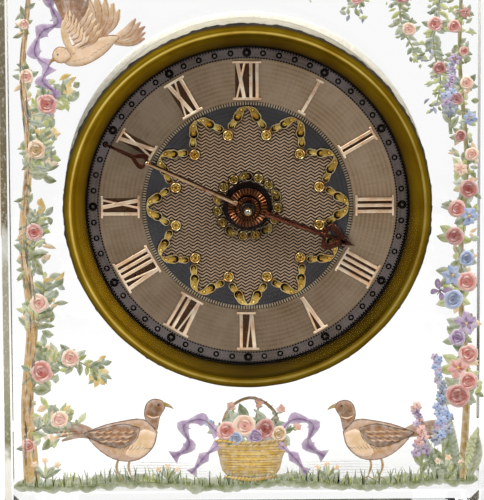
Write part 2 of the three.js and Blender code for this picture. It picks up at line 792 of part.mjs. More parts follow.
function addPlates() {
  const through = (place, radius, back, front) => rodAt(place, radius + runGap, back - 1, front + 1);
  const centre = new THREE.Vector2();
  const frontHoles = [
    through(centre, centreArborRadius, frontPlateBack, frontPlateFront),
    through(barrelPlace, windingSquareRadius, frontPlateBack, frontPlateFront),
    through(thirdPlace, pivotRadius, frontPlateBack, frontPlateFront),
    through(fourthPlace, pivotRadius, frontPlateBack, frontPlateFront),
    through(escapePlace, finePivotRadius, frontPlateBack, frontPlateFront),
    ...dialFeet.map((place) => through(place, dialFootRadius, frontPlateBack, frontPlateFront)),
  ];
  const studFront = dialBack - sideGap;
  const stud = rodAt(motionPlace, motionStudRadius, frontPlateBack, studFront);
  const frontDisc = rod(frontPlateRadius, frontPlateBack, frontPlateFront, ringSides);
  piece("front_plate", "brass", cut(join(frontDisc, stud), ...frontHoles));

  const backHoles = [
    through(centre, centreArborRadius, backPlateBack, backPlateFront),
    through(barrelPlace, windingSquareRadius, backPlateBack, backPlateFront),
    through(thirdPlace, pivotRadius, backPlateBack, backPlateFront),
    through(fourthPlace, pivotRadius, backPlateBack, backPlateFront),
    through(escapePlace, escapeArborRadius, backPlateBack, backPlateFront),
    through(leverPlace, finePivotRadius, backPlateBack, backPlateFront),
    through(balancePlace, finePivotRadius, backPlateBack, backPlateFront),
    through(clickPlace, clickPinRadius, backPlateBack, backPlateFront),
    ...pillarPlaces.map((place) => through(place, pillarScrewRadius, backPlateBack, backPlateFront)),
  ];
  const backDisc = rod(backPlateRadius, backPlateBack, backPlateFront, ringSides);
  piece("back_plate", "brass", cut(backDisc, ...backHoles));

  const pillarBack = backPlateFront + fitGap;
  const pillarFront = frontPlateBack - fitGap;
  const socket = rod(pillarScrewRadius + runGap, pillarBack - 1, pillarBack + pillarScrewReach + fitGap);
  const seat = backPlateBack - fitGap;
  const tip = pillarBack + pillarScrewReach;
  pillarPlaces.forEach((place, index) => {
    const screw = slottedScrew(pillarScrewHead, pillarScrewHeadHeight, pillarScrewRadius, seat, tip);
    piece(`pillar_${index + 1}`, "brass", cut(rod(pillarRadius, pillarBack, pillarFront), socket), place);
    piece(`pillar_screw_${index + 1}`, "steel", screw, place);
  });
}

const centreWheelFront = frontPlateBack - centreWheelDepth;
const fourthWheelFront = frontPlateBack - fourthWheelDepth;
const barrelFront = frontPlateBack - barrelDepth;
const thirdWheelFront = frontPlateBack - thirdWheelDepth;
const capBack = backPlateFront + sideGap;
const capFront = capBack + barrelCapThickness;
const barrelBack = capFront + fitGap;

function wheel(teeth, module, front, thickness = wheelThickness) {
  return slab(toothed(teeth, module, toothForm), front - thickness, front);
}

// A pinion a little longer than the wheel that it meets
function pinion(leaves, module, meetingFront, meetingThickness = wheelThickness) {
  const back = meetingFront - meetingThickness - pinionOverhang;
  return slab(toothed(leaves, module, leafForm), back, meetingFront + pinionOverhang);
}

function addBarrel() {
  const rootRadius = barrelModule * (barrelTeeth / 2 - toothDedendum);
  const wallOuter = rootRadius - sideGap;
  const cavity = wallOuter - barrelWall;
  const bore = barrelArborRadius + runGap;
  const cavityFront = barrelFront - barrelFlange;
  const teeth = wheel(barrelTeeth, barrelModule, barrelFront, barrelFlange);
  const body = join(teeth, rod(wallOuter, barrelBack, barrelFront, wheelSides));
  const hollow = rod(cavity, barrelBack - 1, cavityFront, wheelSides);
  const barrel = cut(body, hollow, rod(bore, barrelBack - 1, barrelFront + 1));
  piece("mainspring_barrel", "brass", barrel, barrelPlace, barrelTurn);
  piece("barrel_cap", "brass", ring(bore, wallOuter, capBack, capFront, wheelSides), barrelPlace);
  const springBack = barrelBack + springInset;
  const springFront = cavityFront - springInset;
  const springInner = bore + springInset;
  const springOuter = cavity * Math.cos(Math.PI / wheelSides) - springInset;
  const coil = {
    inner: springInner,
    outer: springOuter,
    turns: mainspringTurns,
    thickness: mainspringThickness,
  };
  piece("mainspring", "spring", spiral(coil, springBack, springFront), barrelPlace);

  const keyTip = keyFront - keySocketDepth + fitGap;
  const arbor = shaft(keyTip, [
    [windingSquareRadius, backPlateFront + fitGap],
    [barrelArborRadius, frontPlateBack - fitGap],
    [windingSquareRadius, frontPlateFront],
  ]);
  piece("barrel_arbor", "steel", arbor, barrelPlace);
}

function addWindingWork() {
  const front = backPlateBack - sideGap;
  const back = front - ratchetThickness;
  const points = [];
  for (let tooth = 0; tooth < ratchetTeeth; tooth++) {
    const start = (tooth * 2 * Math.PI) / ratchetTeeth;
    const end = start + (2 * Math.PI * 0.9) / ratchetTeeth;
    const root = ratchetRadius - ratchetToothHeight;
    points.push([root * Math.cos(start), root * Math.sin(start)]);
    points.push([ratchetRadius * Math.cos(end), ratchetRadius * Math.sin(end)]);
  }
  const bore = windingSquareRadius + runGap;
  const ratchet = cut(slab(outline(points), back, front), rod(bore, back - 1, front + 1));
  piece("ratchet_wheel", "steel", ratchet, barrelPlace);

  const noseRadius = ratchetRadius + fitGap;
  const noseX = noseRadius * Math.sin(radians(clickLead));
  const noseY = noseRadius * Math.cos(radians(clickLead)) - clickDistance;
  const corner = clickRadius * Math.SQRT1_2;
  const noseEnd = [[noseX, noseY], [noseX + corner, noseY + corner]];
  const nose = outline([[-corner, -corner], ...noseEnd, [corner, corner]]);
  const pinFront = backPlateFront - fitGap;
  const click = join(
    rod(clickRadius, back, front),
    slab(nose, back, front),
    rod(clickPinRadius, back, pinFront),
  );
  piece("click", "steel", click, clickPlace, radians(motionDirection - 90));
}

function addTrain() {
  const pivotFront = frontPlateBack + pivotLength;
  const pivotBack = backPlateFront - pivotLength;
  const knobTip = keyFront - knobSocketDepth + fitGap;
  const centreArbor = shaft(knobTip, [
    [centreArborRadius, backPlateFront + fitGap],
    [centreHubRadius, frontPlateBack - fitGap],
    [centreArborRadius, arborTip],
  ]);
  const centre = join(
    centreArbor,
    wheel(centreTeeth, centreModule, centreWheelFront),
    pinion(centrePinionLeaves, barrelModule, barrelFront, barrelFlange),
  );
  piece("centre_wheel", "brass", centre);

  const arbor = shaft(pivotBack, [
    [pivotRadius, backPlateFront + fitGap],
    [arborRadius, frontPlateBack - fitGap],
    [pivotRadius, pivotFront],
  ]);
  const third = join(
    arbor,
    wheel(thirdTeeth, thirdModule, thirdWheelFront),
    pinion(thirdPinionLeaves, centreModule, centreWheelFront),
  );
  piece("third_wheel", "brass", third, thirdPlace, thirdTurn);
  const fourth = join(
    arbor,
    wheel(fourthTeeth, fourthModule, fourthWheelFront),
    pinion(fourthPinionLeaves, thirdModule, thirdWheelFront),
  );
  piece("fourth_wheel", "brass", fourth, fourthPlace, fourthTurn);
}

function addMotionWork() {
  const minuteWheelBack = frontPlateFront + sideGap;
  const minuteWheelFront = minuteWheelBack + wheelThickness;
  const hourWheelBack = minuteWheelFront + sideGap + pinionOverhang / 2;
  const hourWheelFront = hourWheelBack + wheelThickness;
  const cannonFront = minuteWheelFront + pinionOverhang / 2;
  const cannonBack = frontPlateFront + fitGap;
  const cannonTop = minuteHandBack + handThickness;
  const cannon = join(
    slab(toothed(cannonLeaves, motionModule, leafForm), cannonBack, cannonFront),
    rod(cannonPipeRadius, cannonBack, cannonTop, wheelSides),
  );
  const cannonBore = centreArborRadius + runGap / 2;
  piece("cannon_pinion", "steel", cut(cannon, rod(cannonBore, cannonBack - 1, cannonTop + 1)));

  const minuteParts = join(
    wheel(minuteWheelTeeth, motionModule, minuteWheelFront),
    slab(toothed(minutePinionLeaves, hourModule, leafForm), minuteWheelBack, hourWheelFront),
  );
  const minuteBore = rod(motionStudRadius + runGap, frontPlateFront, hourWheelFront + 1);
  piece("minute_wheel", "brass", cut(minuteParts, minuteBore), motionPlace, motionTurn);

  const pipeTop = hourHandBack + handThickness;
  const hourParts = join(
    wheel(hourWheelTeeth, hourModule, hourWheelFront),
    rod(hourPipeRadius, hourWheelBack, pipeTop, wheelSides),
  );
  const hourBore = rod(cannonPipeRadius + runGap, hourWheelBack - 1, pipeTop + 1, wheelSides);
  piece("hour_wheel", "brass", cut(hourParts, hourBore), new THREE.Vector2(), hourTurn);
}

function addEscapement() {
  const escapeBack = escapeFront - escapeThickness;
  const pivotBack = bridgeFront - bridgeThickness / 2;
  const points = [];
  for (let tooth = 0; tooth < escapeTeeth; tooth++) {
    const pitch = (2 * Math.PI) / escapeTeeth;
    const root = escapeRadius - escapeToothHeight;
    for (const [radius, share] of [[root, 0.1], [escapeRadius, 0.5], [escapeRadius, 0.62], [root, 0.55]]) {
      const angle = (tooth + share) * pitch;
      points.push([radius * Math.cos(angle), radius * Math.sin(angle)]);
    }
  }
  const escape = join(
    shaft(pivotBack, [
      [finePivotRadius, bridgeFront + fitGap],
      [escapeArborRadius, frontPlateBack - fitGap],
      [finePivotRadius, frontPlateBack + pivotLength],
    ]),
    slab(outline(points), escapeBack, escapeFront),
    pinion(escapePinionLeaves, fourthModule, fourthWheelFront),
  );
  piece("escape_wheel", "brass", escape, escapePlace, escapeTurn);

  const palletReach = escapeRadius + palletClearance;
  const spread = radians(palletSpread);
  const palletX = palletReach * Math.cos(spread) - leverDistance;
  const palletY = palletReach * Math.sin(spread);
  const arm = 2 * leverArmHalf;
  const anchor = outline([
    [arm, 0],
    [palletX + arm, palletY + arm],
    [palletX, palletY],
    [-leverArmHalf, leverArmHalf],
    [-leverArmHalf, -leverArmHalf],
    [palletX, -palletY],
    [palletX + arm, -palletY - arm],
  ]);
  const forkEnd = leverLength - rollerRadius;
  const pivotFront = backPlateBack + pivotLength;
  const lever = join(
    slab(anchor, escapeBack, escapeFront),
    rod(leverPivotRadius, escapeBack, escapeFront),
    slab(rectangle(0, forkEnd, -leverArmHalf, leverArmHalf), escapeBack, escapeFront),
    shaft(pivotBack, [
      [finePivotRadius, bridgeFront + fitGap],
      [escapeArborRadius, backPlateBack - fitGap],
      [finePivotRadius, pivotFront],
    ]),
  );
  piece("pallet_lever", "steel", lever, leverPlace, radians(leverDirection));

  const balanceBack = balanceFront - balanceThickness;
  const armReach = balanceRadius - balanceRim / 2;
  const balance = join(
    ring(balanceRadius - balanceRim, balanceRadius, balanceBack, balanceFront, wheelSides),
    slab(rectangle(-armReach, armReach, -balanceArmHalf, balanceArmHalf), balanceBack, balanceFront),
    rod(rollerRadius, balanceFront - balanceThickness / 2, rollerFront),
    shaft(pivotBack, [
      [finePivotRadius, bridgeFront + fitGap],
      [balanceStaffRadius, backPlateBack - fitGap],
      [finePivotRadius, pivotFront],
    ]),
  );
  piece("balance_wheel", "gilt", balance, balancePlace, radians(leverDirection + 90));
  const springBack = hairspringFront - hairspringHeight;
  const coil = {
    inner: hairspringInner,
    outer: hairspringOuter,
    turns: hairspringTurns,
    thickness: hairspringThickness,
  };
  piece("hairspring", "spring", spiral(coil, springBack, hairspringFront), balancePlace);
}

function addBridge() {
  const along = radians(leverDirection);
  const reach = bridgeTailPlace.distanceTo(bridgeHeadPlace);
  const bar = slab(rectangle(0, reach, -bridgeHalf, bridgeHalf), bridgeBack, bridgeFront);
  bar.rotateZ(along).translate(bridgeHeadPlace.x, bridgeHeadPlace.y, 0);
  const postFront = backPlateBack - fitGap;
  const posts = [bridgeHeadPlace, bridgeTailPlace].map((place) =>
    rodAt(place, bridgePostRadius, bridgeBack, postFront),
  );
  const ends = [bridgeHeadPlace, bridgeTailPlace].map((place) =>
    rodAt(place, bridgeHalf, bridgeBack, bridgeFront, wheelSides),
  );
  const boss = rodAt(balancePlace, indexBossRadius, indexFront - indexThickness, bridgeFront);
  const holes = [escapePlace, leverPlace, balancePlace].map((place) =>
    rodAt(place, finePivotRadius + runGap, indexFront - 2 * indexThickness, bridgeFront + 1),
  );
  piece("escapement_bridge", "brass", cut(join(bar, ...posts, ...ends, boss), ...holes));

  const arm = rectangle(0, indexArmLength, -indexArmHalf, indexArmHalf);
  const indexBack = indexFront - indexThickness;
  const index = join(rod(indexRadius, indexBack, indexFront, wheelSides), slab(arm, indexBack, indexFront));
  const indexBore = rod(indexBossRadius + runGap, indexBack - 1, indexFront + 1, wheelSides);
  piece("regulator_index", "steel", cut(index, indexBore), balancePlace, along + Math.PI);
}

function addKeyAndKnob() {
  const hubBack = keyFront - keyHubLength;
  const wingBack = hubBack - keyWingLength + keyHubRadius;
  const wing = new THREE.Shape();
  const half = keyWingSpan / 2;
  const wingMiddle = (hubBack + wingBack) / 2;
  wing.moveTo(0, hubBack + keyHubRadius);
  wing.quadraticCurveTo(half, hubBack + keyHubRadius, half, wingMiddle);
  wing.quadraticCurveTo(half, wingBack, half / 2, wingBack);
  wing.quadraticCurveTo(0, wingBack, 0, hubBack);
  wing.quadraticCurveTo(0, wingBack, -half / 2, wingBack);
  wing.quadraticCurveTo(-half, wingBack, -half, wingMiddle);
  wing.quadraticCurveTo(-half, hubBack + keyHubRadius, 0, hubBack + keyHubRadius);
  // The wing lies in a plane through the key's axis
  const blade = slab(wing, -keyWingHalf, keyWingHalf).rotateX(Math.PI / 2);
  const eyes = [-1, 1].map((side) => {
    const hole = rod(keyEyeRadius, -2 * keyWingHalf, 2 * keyWingHalf).rotateX(Math.PI / 2);
    return hole.translate((side * half) / 2 + side * keyWingHalf, 0, wingMiddle);
  });
  const socket = rod(windingSquareRadius + runGap, keyFront - keySocketDepth, keyFront + 1);
  const key = cut(join(rod(keyHubRadius, hubBack, keyFront, wheelSides), blade), socket, ...eyes);
  piece("winding_key", "brass", key, barrelPlace);

  const points = [];
  for (let flute = 0; flute < knobFlutes; flute++) {
    for (const [share, depth] of [[0, 0], [0.5, 0], [0.6, knobFluteDepth], [0.9, knobFluteDepth]]) {
      const angle = ((flute + share) * 2 * Math.PI) / knobFlutes;
      points.push([(knobRadius - depth) * Math.cos(angle), (knobRadius - depth) * Math.sin(angle)]);
    }
  }
  const knob = slab(outline(points), keyFront - knobThickness, keyFront);
  const knobSocket = rod(centreArborRadius + runGap, keyFront - knobSocketDepth, keyFront + 1);
  piece("setting_knob", "brass", cut(knob, knobSocket));
}

addGlassBlock();
addBezel();
addCrystal();
addDial();
addNumerals();
addDialWreath();
addRosetteRing();
addHands();
addDrum();
addRearFittings();
addPlates();
addBarrel();
addWindingWork();
addTrain();
addMotionWork();
addEscapement();
addBridge();
addKeyAndKnob();

export default clock;
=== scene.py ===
import math
import random

import bmesh
import bpy
import numpy as np
from mathutils import Matrix, Vector


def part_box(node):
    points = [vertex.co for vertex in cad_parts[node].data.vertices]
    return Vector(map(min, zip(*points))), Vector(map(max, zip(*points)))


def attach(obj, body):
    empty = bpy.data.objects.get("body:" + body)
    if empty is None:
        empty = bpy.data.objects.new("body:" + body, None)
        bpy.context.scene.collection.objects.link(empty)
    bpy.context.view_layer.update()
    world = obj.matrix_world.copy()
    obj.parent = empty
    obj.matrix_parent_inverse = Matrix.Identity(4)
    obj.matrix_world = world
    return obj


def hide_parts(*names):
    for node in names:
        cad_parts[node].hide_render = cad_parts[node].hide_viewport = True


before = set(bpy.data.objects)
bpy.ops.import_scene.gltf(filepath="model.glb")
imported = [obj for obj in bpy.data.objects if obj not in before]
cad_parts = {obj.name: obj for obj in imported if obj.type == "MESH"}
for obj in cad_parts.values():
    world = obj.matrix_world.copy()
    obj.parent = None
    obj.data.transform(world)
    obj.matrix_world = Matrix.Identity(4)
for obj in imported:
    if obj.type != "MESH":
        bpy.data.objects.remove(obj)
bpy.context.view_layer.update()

# Looks of a glass mantel clock. Lengths are millimetres in the dial's own frame:
# x to the right, y up, z towards the viewer, with 0 at the front face of the glass.
MM = 0.001
PHOTO_WIDTH = 484
PHOTO_HEIGHT = 500


def corners(node):
    """A CAD node's lowest and highest corners in the CAD's frame, to a hundredth of a millimetre."""
    return [[round(value / MM, 2) for value in corner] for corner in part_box(node)]


def half_width(node):
    """Half of a CAD node's width, which is the radius of a round one."""
    low, high = corners(node)
    return (high[0] - low[0]) / 2


block_low, block_high = corners("glass_block")
numeral_low, numeral_high = corners("numeral_12")
GLASS_FRONT = block_low[1]
DIAL_HEIGHT = sum(corner[2] for corner in corners("dial")) / 2


def back_of(node):
    """How far a CAD node's back stands before the front face of the glass."""
    return round(GLASS_FRONT - corners(node)[1][1], 2)


def front_of(node):
    """How far a CAD node's front stands before the front face of the glass."""
    return round(GLASS_FRONT - corners(node)[0][1], 2)


BLOCK_HALF = half_width("glass_block")
BLOCK_SHIFT = (block_low[0] + block_high[0]) / 2
BLOCK_UP = block_high[2] - DIAL_HEIGHT
BLOCK_DEPTH = block_high[1] - block_low[1]
BEVEL = 1.6
HOLE_RADIUS = 34.0
SLEEVE_INNER = 33.25
SLEEVE_OUTER = half_width("packing_sleeve")
GASKET_INNER = 34.15
GASKET_OUTER = 34.98
GASKET_BACK = back_of("bezel_gasket")
GASKET_FRONT = front_of("bezel_gasket")

BEZEL_OUTER = half_width("bezel")
BEZEL_BACK = back_of("bezel")
BEZEL_FRONT = front_of("bezel")
CRYSTAL_RADIUS = half_width("crystal")
CRYSTAL_INNER = 32.25
APERTURE = 30.5
DIAL_RADIUS = half_width("dial")
DIAL_BORE = 1.95
DIAL_BACK = -1.2
DIAL_FACE = front_of("dial")
BAND_OUTER = 30.2
BAND_INNER = 28.2
BAND_FACE = -0.52
TRACK_RADIUS = 29.2
NUMERAL_OUTER = round(numeral_high[2] - DIAL_HEIGHT, 2)
NUMERAL_HEIGHT = round(numeral_high[2] - numeral_low[2], 2)
CENTRE_RADIUS = 19.85
HATCH_INNER = 19.2
CENTRE_FACE = -0.55
WREATH_TIP = half_width("dial_wreath")
RELIEF_FLOOR = -0.46
RING_RADIUS = 5.7

HOUR_ANGLE = 110.3
MINUTE_ANGLE = 294.8
HOUR_BACK = back_of("hour_hand")
MINUTE_BACK = back_of("minute_hand")
HAND_THICK = round(front_of("hour_hand") - HOUR_BACK, 2)


def ink(red, green, blue):
    """A colour written in display values, as linear light."""
    def linear(value):
        share = value / 255
        return share / 12.92 if share <= 0.04045 else ((share + 0.055) / 1.055) ** 2.4
    return (linear(red), linear(green), linear(blue))


WHITE = (1.0, 1.0, 1.0)
# Black enamel fill, which also serves as painted shade at the dial's edge under the bezel and between the
# hands' hubs.
BLACK_FILL_AND_SHADE = ink(24, 19, 18)
DARK_BRONZE = ink(78, 58, 42)


def on_dial(radius, degrees):
    """A point at a radius and an angle clockwise from twelve."""
    angle = math.radians(degrees)
    return np.array((radius * math.sin(angle), radius * math.cos(angle)))


def heading(degrees):
    """A unit step in a direction, anticlockwise from the right."""
    angle = math.radians(degrees)
    return np.array((math.cos(angle), math.sin(angle)))


def bearings_of(points):
    """Radius and clockwise bearing from twelve of each point."""
    return np.hypot(points[:, 0], points[:, 1]), np.degrees(np.arctan2(points[:, 0], points[:, 1])) % 360


def turned(points, degrees):
    """Points turned clockwise about the dial's centre."""
    angle = -math.radians(degrees)
    c, s = math.cos(angle), math.sin(angle)
    moved = np.array(points, float)
    x, y = moved[:, 0].copy(), moved[:, 1].copy()
    moved[:, 0] = c * x - s * y
    moved[:, 1] = s * x + c * y
    return moved


def flat(points, z):
    """Plane points lifted to a height."""
    points = np.asarray(points, float)
    return np.column_stack((points, np.full(len(points), float(z))))


def circle(radius, steps, centre=(0, 0), start=0.0):
    angles = start + np.arange(steps) * 2 * math.pi / steps
    return np.column_stack((centre[0] + radius * np.cos(angles), centre[1] + radius * np.sin(angles)))


class Shape:
    """Points, faces and tints gathered for one piece."""

    def __init__(self):
        self.points = []
        self.faces = []
        self.tints = []
        self.kinds = []
        self.count = 0

    def add(self, form, tint=WHITE):
        points, faces = form
        points = np.asarray(points, float)
        self.points.append(points)
        self.faces += [tuple(int(corner) + self.count for corner in face) for face in faces]
        self.kinds += [0] * len(faces)
        self.tints.append(np.broadcast_to(np.asarray(tint, float), (len(points), 3)))
        self.count += len(points)
        return self

    def turned(self, degrees):
        """A copy turned clockwise about the dial's centre."""
        copy = Shape()
        copy.points = [turned(points, degrees) for points in self.points]
        copy.faces, copy.tints = list(self.faces), list(self.tints)
        copy.kinds, copy.count = list(self.kinds), self.count
        return copy

    def merge(self, other):
        self.points += other.points
        self.faces += [tuple(corner + self.count for corner in face) for face in other.faces]
        self.tints += other.tints
        self.kinds += other.kinds
        self.count += other.count

    def make(self, name, materials, body="case", slot=None, replaces=(), crease=35):
        points = np.concatenate(self.points)
        placed = np.column_stack((points[:, 0], GLASS_FRONT - points[:, 2], DIAL_HEIGHT + points[:, 1])) * MM
        mesh = bpy.data.meshes.new(name)
        mesh.from_pydata(placed.tolist(), [], self.faces)
        for material in materials if isinstance(materials, list) else [materials]:
            mesh.materials.append(material)
        mesh.polygons.foreach_set("material_index", self.kinds)
        tint = mesh.attributes.new("Tint", "FLOAT_COLOR", "POINT")
        rgba = np.column_stack((np.concatenate(self.tints), np.ones(len(points))))
        tint.data.foreach_set("color", rgba.astype(np.float32).ravel())
        work = bmesh.new()
        work.from_mesh(mesh)
        bmesh.ops.recalc_face_normals(work, faces=work.faces)
        work.to_mesh(mesh)
        work.free()
        mesh.shade_smooth()
        mesh.set_sharp_from_angle(angle=math.radians(crease))
        piece = bpy.data.objects.new(name, mesh)
        bpy.context.scene.collection.objects.link(piece)
        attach(piece, body)
        if replaces:
            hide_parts(*replaces)


def loft(loops, closed=True):
    """Loops of equally many points joined in order, each loop round and, if closed, the last to the first."""
    count = len(loops[0])
    faces = []
    ends = len(loops) if closed else len(loops) - 1
    for row in range(ends):
        low, high = row * count, (row + 1) % len(loops) * count
        for step in range(count):
            following = (step + 1) % count
            faces.append((low + step, low + following, high + following, high + step))
    return np.concatenate(loops), faces


def lathe(profile, steps):
    """A closed profile of radius and height, turned about the dial's axis."""
    ring = circle(1.0, steps)
    return loft([flat(ring * radius, z) for radius, z in profile])


def capped(loops):
    """Loops joined in order, with the first and last filled."""
    points, faces = loft(loops, closed=False)
    count = len(loops[0])
    faces.append(tuple(range(count)))
    faces.append(tuple(range(len(points) - count, len(points))))
    return points, faces


def oblong(inner, outer, back, front):
    """The profile of a plain ring."""
    return [(inner, back), (outer, back), (outer, front), (inner, front)]


def rounded(profile, radius, steps=3):
    """A closed profile with its corners eased."""
    points = [np.array(point, float) for point in profile]
    eased = []
    for index, corner in enumerate(points):
        before, after = points[index - 1], points[(index + 1) % len(points)]
        back, on = before - corner, after - corner
        reach = min(radius, 0.45 * np.linalg.norm(back), 0.45 * np.linalg.norm(on))
        start = corner + back / np.linalg.norm(back) * reach
        end = corner + on / np.linalg.norm(on) * reach
        for step in range(steps + 1):
            t = step / steps
            eased.append((1 - t) ** 2 * start + 2 * t * (1 - t) * corner + t * t * end)
    return eased


def inset(outline, depth):
    """A closed outline moved inwards by a depth, its corners mitred."""
    points = np.asarray(outline, float)
    before, after = np.roll(points, 1, axis=0), np.roll(points, -1, axis=0)
    area = np.sum(points[:, 0] * after[:, 1] - after[:, 0] * points[:, 1])
    def normal(edge):
        length = np.maximum(np.linalg.norm(edge, axis=1, keepdims=True), 1e-9)
        return np.column_stack((-edge[:, 1], edge[:, 0])) / length * math.copysign(1, area)
    first, second = normal(points - before), normal(after - points)
    middle = first + second
    scale = np.maximum(np.sum(middle * middle, axis=1, keepdims=True) / 2, 0.35)
    return points + middle / scale * depth


def prism(outline, back, front, bevel=0.0):
    """An outline raised from back to front, its front edge eased."""
    loops = [flat(outline, back), flat(outline, front - bevel)]
    if bevel:
        loops.append(flat(inset(outline, 0.35 * bevel), front - 0.35 * bevel))
        loops.append(flat(inset(outline, bevel), front))
    return capped(loops)


def framed(outer, inner, back, front, bevel):
    """A ring between two outlines of equally many points, both front edges eased."""
    return loft([
        flat(outer, back),
        flat(outer, front - bevel),
        flat(inset(outer, bevel), front),
        flat(inset(inner, -bevel), front),
        flat(inner, front - bevel),
        flat(inner, back),
    ])


def strip(path, halves, back, height, sides=5, closed=False):
    """A rounded bead along a path, with a half width at each of its points."""
    path = np.asarray(path, float)
    halves = np.broadcast_to(np.asarray(halves, float), (len(path),))
    if closed:
        ahead = np.roll(path, -1, axis=0) - np.roll(path, 1, axis=0)
    else:
        ahead = np.gradient(path, axis=0)
    ahead /= np.maximum(np.linalg.norm(ahead, axis=1, keepdims=True), 1e-9)
    across = np.column_stack((-ahead[:, 1], ahead[:, 0]))
    loops = []
    for point, side, half in zip(path, across, halves):
        turns = np.arange(sides + 1) * math.pi / sides
        line = point + side * (np.cos(turns) * half)[:, None]
        loops.append(np.column_stack((line, back + height * np.sin(turns))))
    return loft(loops) if closed else capped(loops)


def dome(centre, radius, back, height, sides, rings=3):
    """A low round boss standing on a plane."""
    loops = []
    for ring in range(rings):
        lift = ring / rings * math.pi / 2
        loops.append(flat(circle(radius * math.cos(lift), sides, centre), back + height * math.sin(lift)))
    points, faces = loft(loops, closed=False)
    points = np.vstack((points, (centre[0], centre[1], back + height)))
    top = len(points) - 1
    last = (rings - 1) * sides
    faces += [(last + step, last + (step + 1) % sides, top) for step in range(sides)]
    faces.append(tuple(range(sides)))
    return points, faces


class Tree:
    """Short ways to add nodes to a node tree."""

    def __init__(self, tree):
        self.tree = tree

    def node(self, kind, inputs=(), **settings):
        made = self.tree.nodes.new("ShaderNode" + kind)
        for key, value in settings.items():
            setattr(made, key, value)
        for key, value in dict(inputs).items():
            self.put(made.inputs[key], value)
        return made

    def put(self, socket, value):
        if isinstance(value, bpy.types.NodeSocket):
            self.tree.links.new(value, socket)
        elif isinstance(value, tuple) and len(value) == 3 and socket.type == "RGBA":
            socket.default_value = (*value, 1.0)
        else:
            socket.default_value = value

    def math(self, operation, first, second=0.0):
        return self.node("Math", {0: first, 1: second}, operation=operation).outputs[0]

    def spread(self, value, low, high, first=0.3, last=0.7, curve="LINEAR"):
        """A value between two limits spread over another range."""
        inputs = {"Value": value, "From Min": first, "From Max": last, "To Min": low, "To Max": high}
        return self.node("MapRange", inputs, interpolation_type=curve).outputs[0]

    def any_ray(self, kinds):
        """1 on rays of the kinds named and 0 on others."""
        path = self.node("LightPath").outputs
        found = path[kinds[0]]
        for kind in kinds[1:]:
            found = self.math("MAXIMUM", found, path[kind])
        return found


class Nodes(Tree):
    """A material with its Principled shader."""

    def __init__(self, name):
        self.material = bpy.data.materials.new(name)
        self.material.use_nodes = True
        super().__init__(self.material.node_tree)
        self.shader = self.tree.nodes["Principled BSDF"]

    def set(self, **inputs):
        for key, value in inputs.items():
            self.put(self.shader.inputs[key.replace("_", " ")], value)

    def show(self, shader):
        """The shader that the surface shows in place of the Principled one."""
        self.put(self.tree.nodes["Material Output"].inputs["Surface"], shader)

    def place(self):
        return self.node("TexCoord").outputs["Object"]

    def polar(self):
        """Angle in turns and radius in metres about the dial's axis."""
        parts = self.node("SeparateXYZ", {0: self.place()}).outputs
        right, up = parts["X"], self.math("SUBTRACT", parts["Z"], DIAL_HEIGHT * MM)
        angle = self.math("DIVIDE", self.math("ARCTAN2", up, right), 2 * math.pi)
        square = self.math("ADD", self.math("MULTIPLY", right, right), self.math("MULTIPLY", up, up))
        return angle, self.math("SQRT", square)

    def noise(self, scale, detail, vector=None):
        inputs = {"Vector": vector or self.place(), "Scale": scale, "Detail": detail, "Roughness": 0.55}
        return self.node("TexNoise", inputs).outputs[0]

    def streaks(self, around, across):
        """Noise with so many cells to a turn about the dial's axis and to a metre across it."""
        angle, radius = self.polar()
        parts = {"X": self.math("MULTIPLY", angle, around), "Y": self.math("MULTIPLY", radius, across)}
        return self.noise(1.0, 3.0, self.node("CombineXYZ", parts).outputs[0])

    def mix(self, share, first, second, blend="MIX"):
        made = self.node("Mix", data_type="RGBA", blend_type=blend, clamp_factor=True)
        for socket, value in ((0, share), (6, first), (7, second)):
            self.put(made.inputs[socket], value)
        return made.outputs[2]

    def tint(self):
        return self.node("Attribute", attribute_name="Tint").outputs["Color"]

    def bump(self, height, strength, distance):
        inputs = {"Height": height, "Strength": strength, "Distance": distance}
        self.set(Normal=self.node("Bump", inputs).outputs[0])


def metal(name, colour, worn, rough, blotch=220.0, relief=0.15, streaks=None):
    """Metal with worn and dull places; its colour is the piece's tint where none is given."""
    made = Nodes(name)
    base = made.tint() if colour is None else colour
    dull = made.spread(made.noise(blotch, 5.0), 0.0, 1.0, 0.35, 0.68)
    aged = made.mix(dull, base, worn, "MIX" if colour else "MULTIPLY")
    fine = made.streaks(*streaks) if streaks else made.noise(9000.0, 2.0)
    made.set(
        Base_Color=made.mix(made.spread(fine, 0.0, 0.34, 0.4, 0.75), aged, (0.55, 0.5, 0.45), "MULTIPLY"),
        Metallic=1.0,
        Roughness=made.spread(made.noise(blotch * 2.3, 4.0), *rough),
    )
    made.bump(fine, relief, 0.00003)
    return made.material


# Kinds of rays that pass thick or thin glass unbent, so that what is behind it is lit evenly,
# and kinds that see the backdrop.
LAMP_RAYS = ("Is Shadow Ray",)
THIN_GLASS_RAYS = ("Is Shadow Ray", "Is Diffuse Ray", "Is Glossy Ray")
SEEN_RAYS = ("Is Camera Ray", "Is Glossy Ray", "Is Transmission Ray")


def clear_glass(name, bend, tone, smears, passing=LAMP_RAYS):
    made = Nodes(name)
    smear = made.spread(made.noise(60.0, 4.0), 0.0, smears, 0.45, 0.8)
    made.set(Base_Color=tone, Roughness=smear, IOR=bend, Transmission_Weight=1.0)
    clear = made.node("BsdfTransparent").outputs[0]
    both = {0: made.any_ray(passing), 1: made.shader.outputs[0], 2: clear}
    made.show(made.node("MixShader", both).outputs[0])
    return made.material


def matt(name, light, dark, scale, relief, rough=0.9):
    """Ground glass, felt or leather: dull, mottled and slightly rough."""
    made = Nodes(name)
    mottle = made.noise(scale, 6.0)
    made.set(Base_Color=made.mix(made.spread(mottle, 0.0, 1.0), light, dark), Roughness=rough)
    made.bump(mottle, relief, 0.0001)
    return made.material


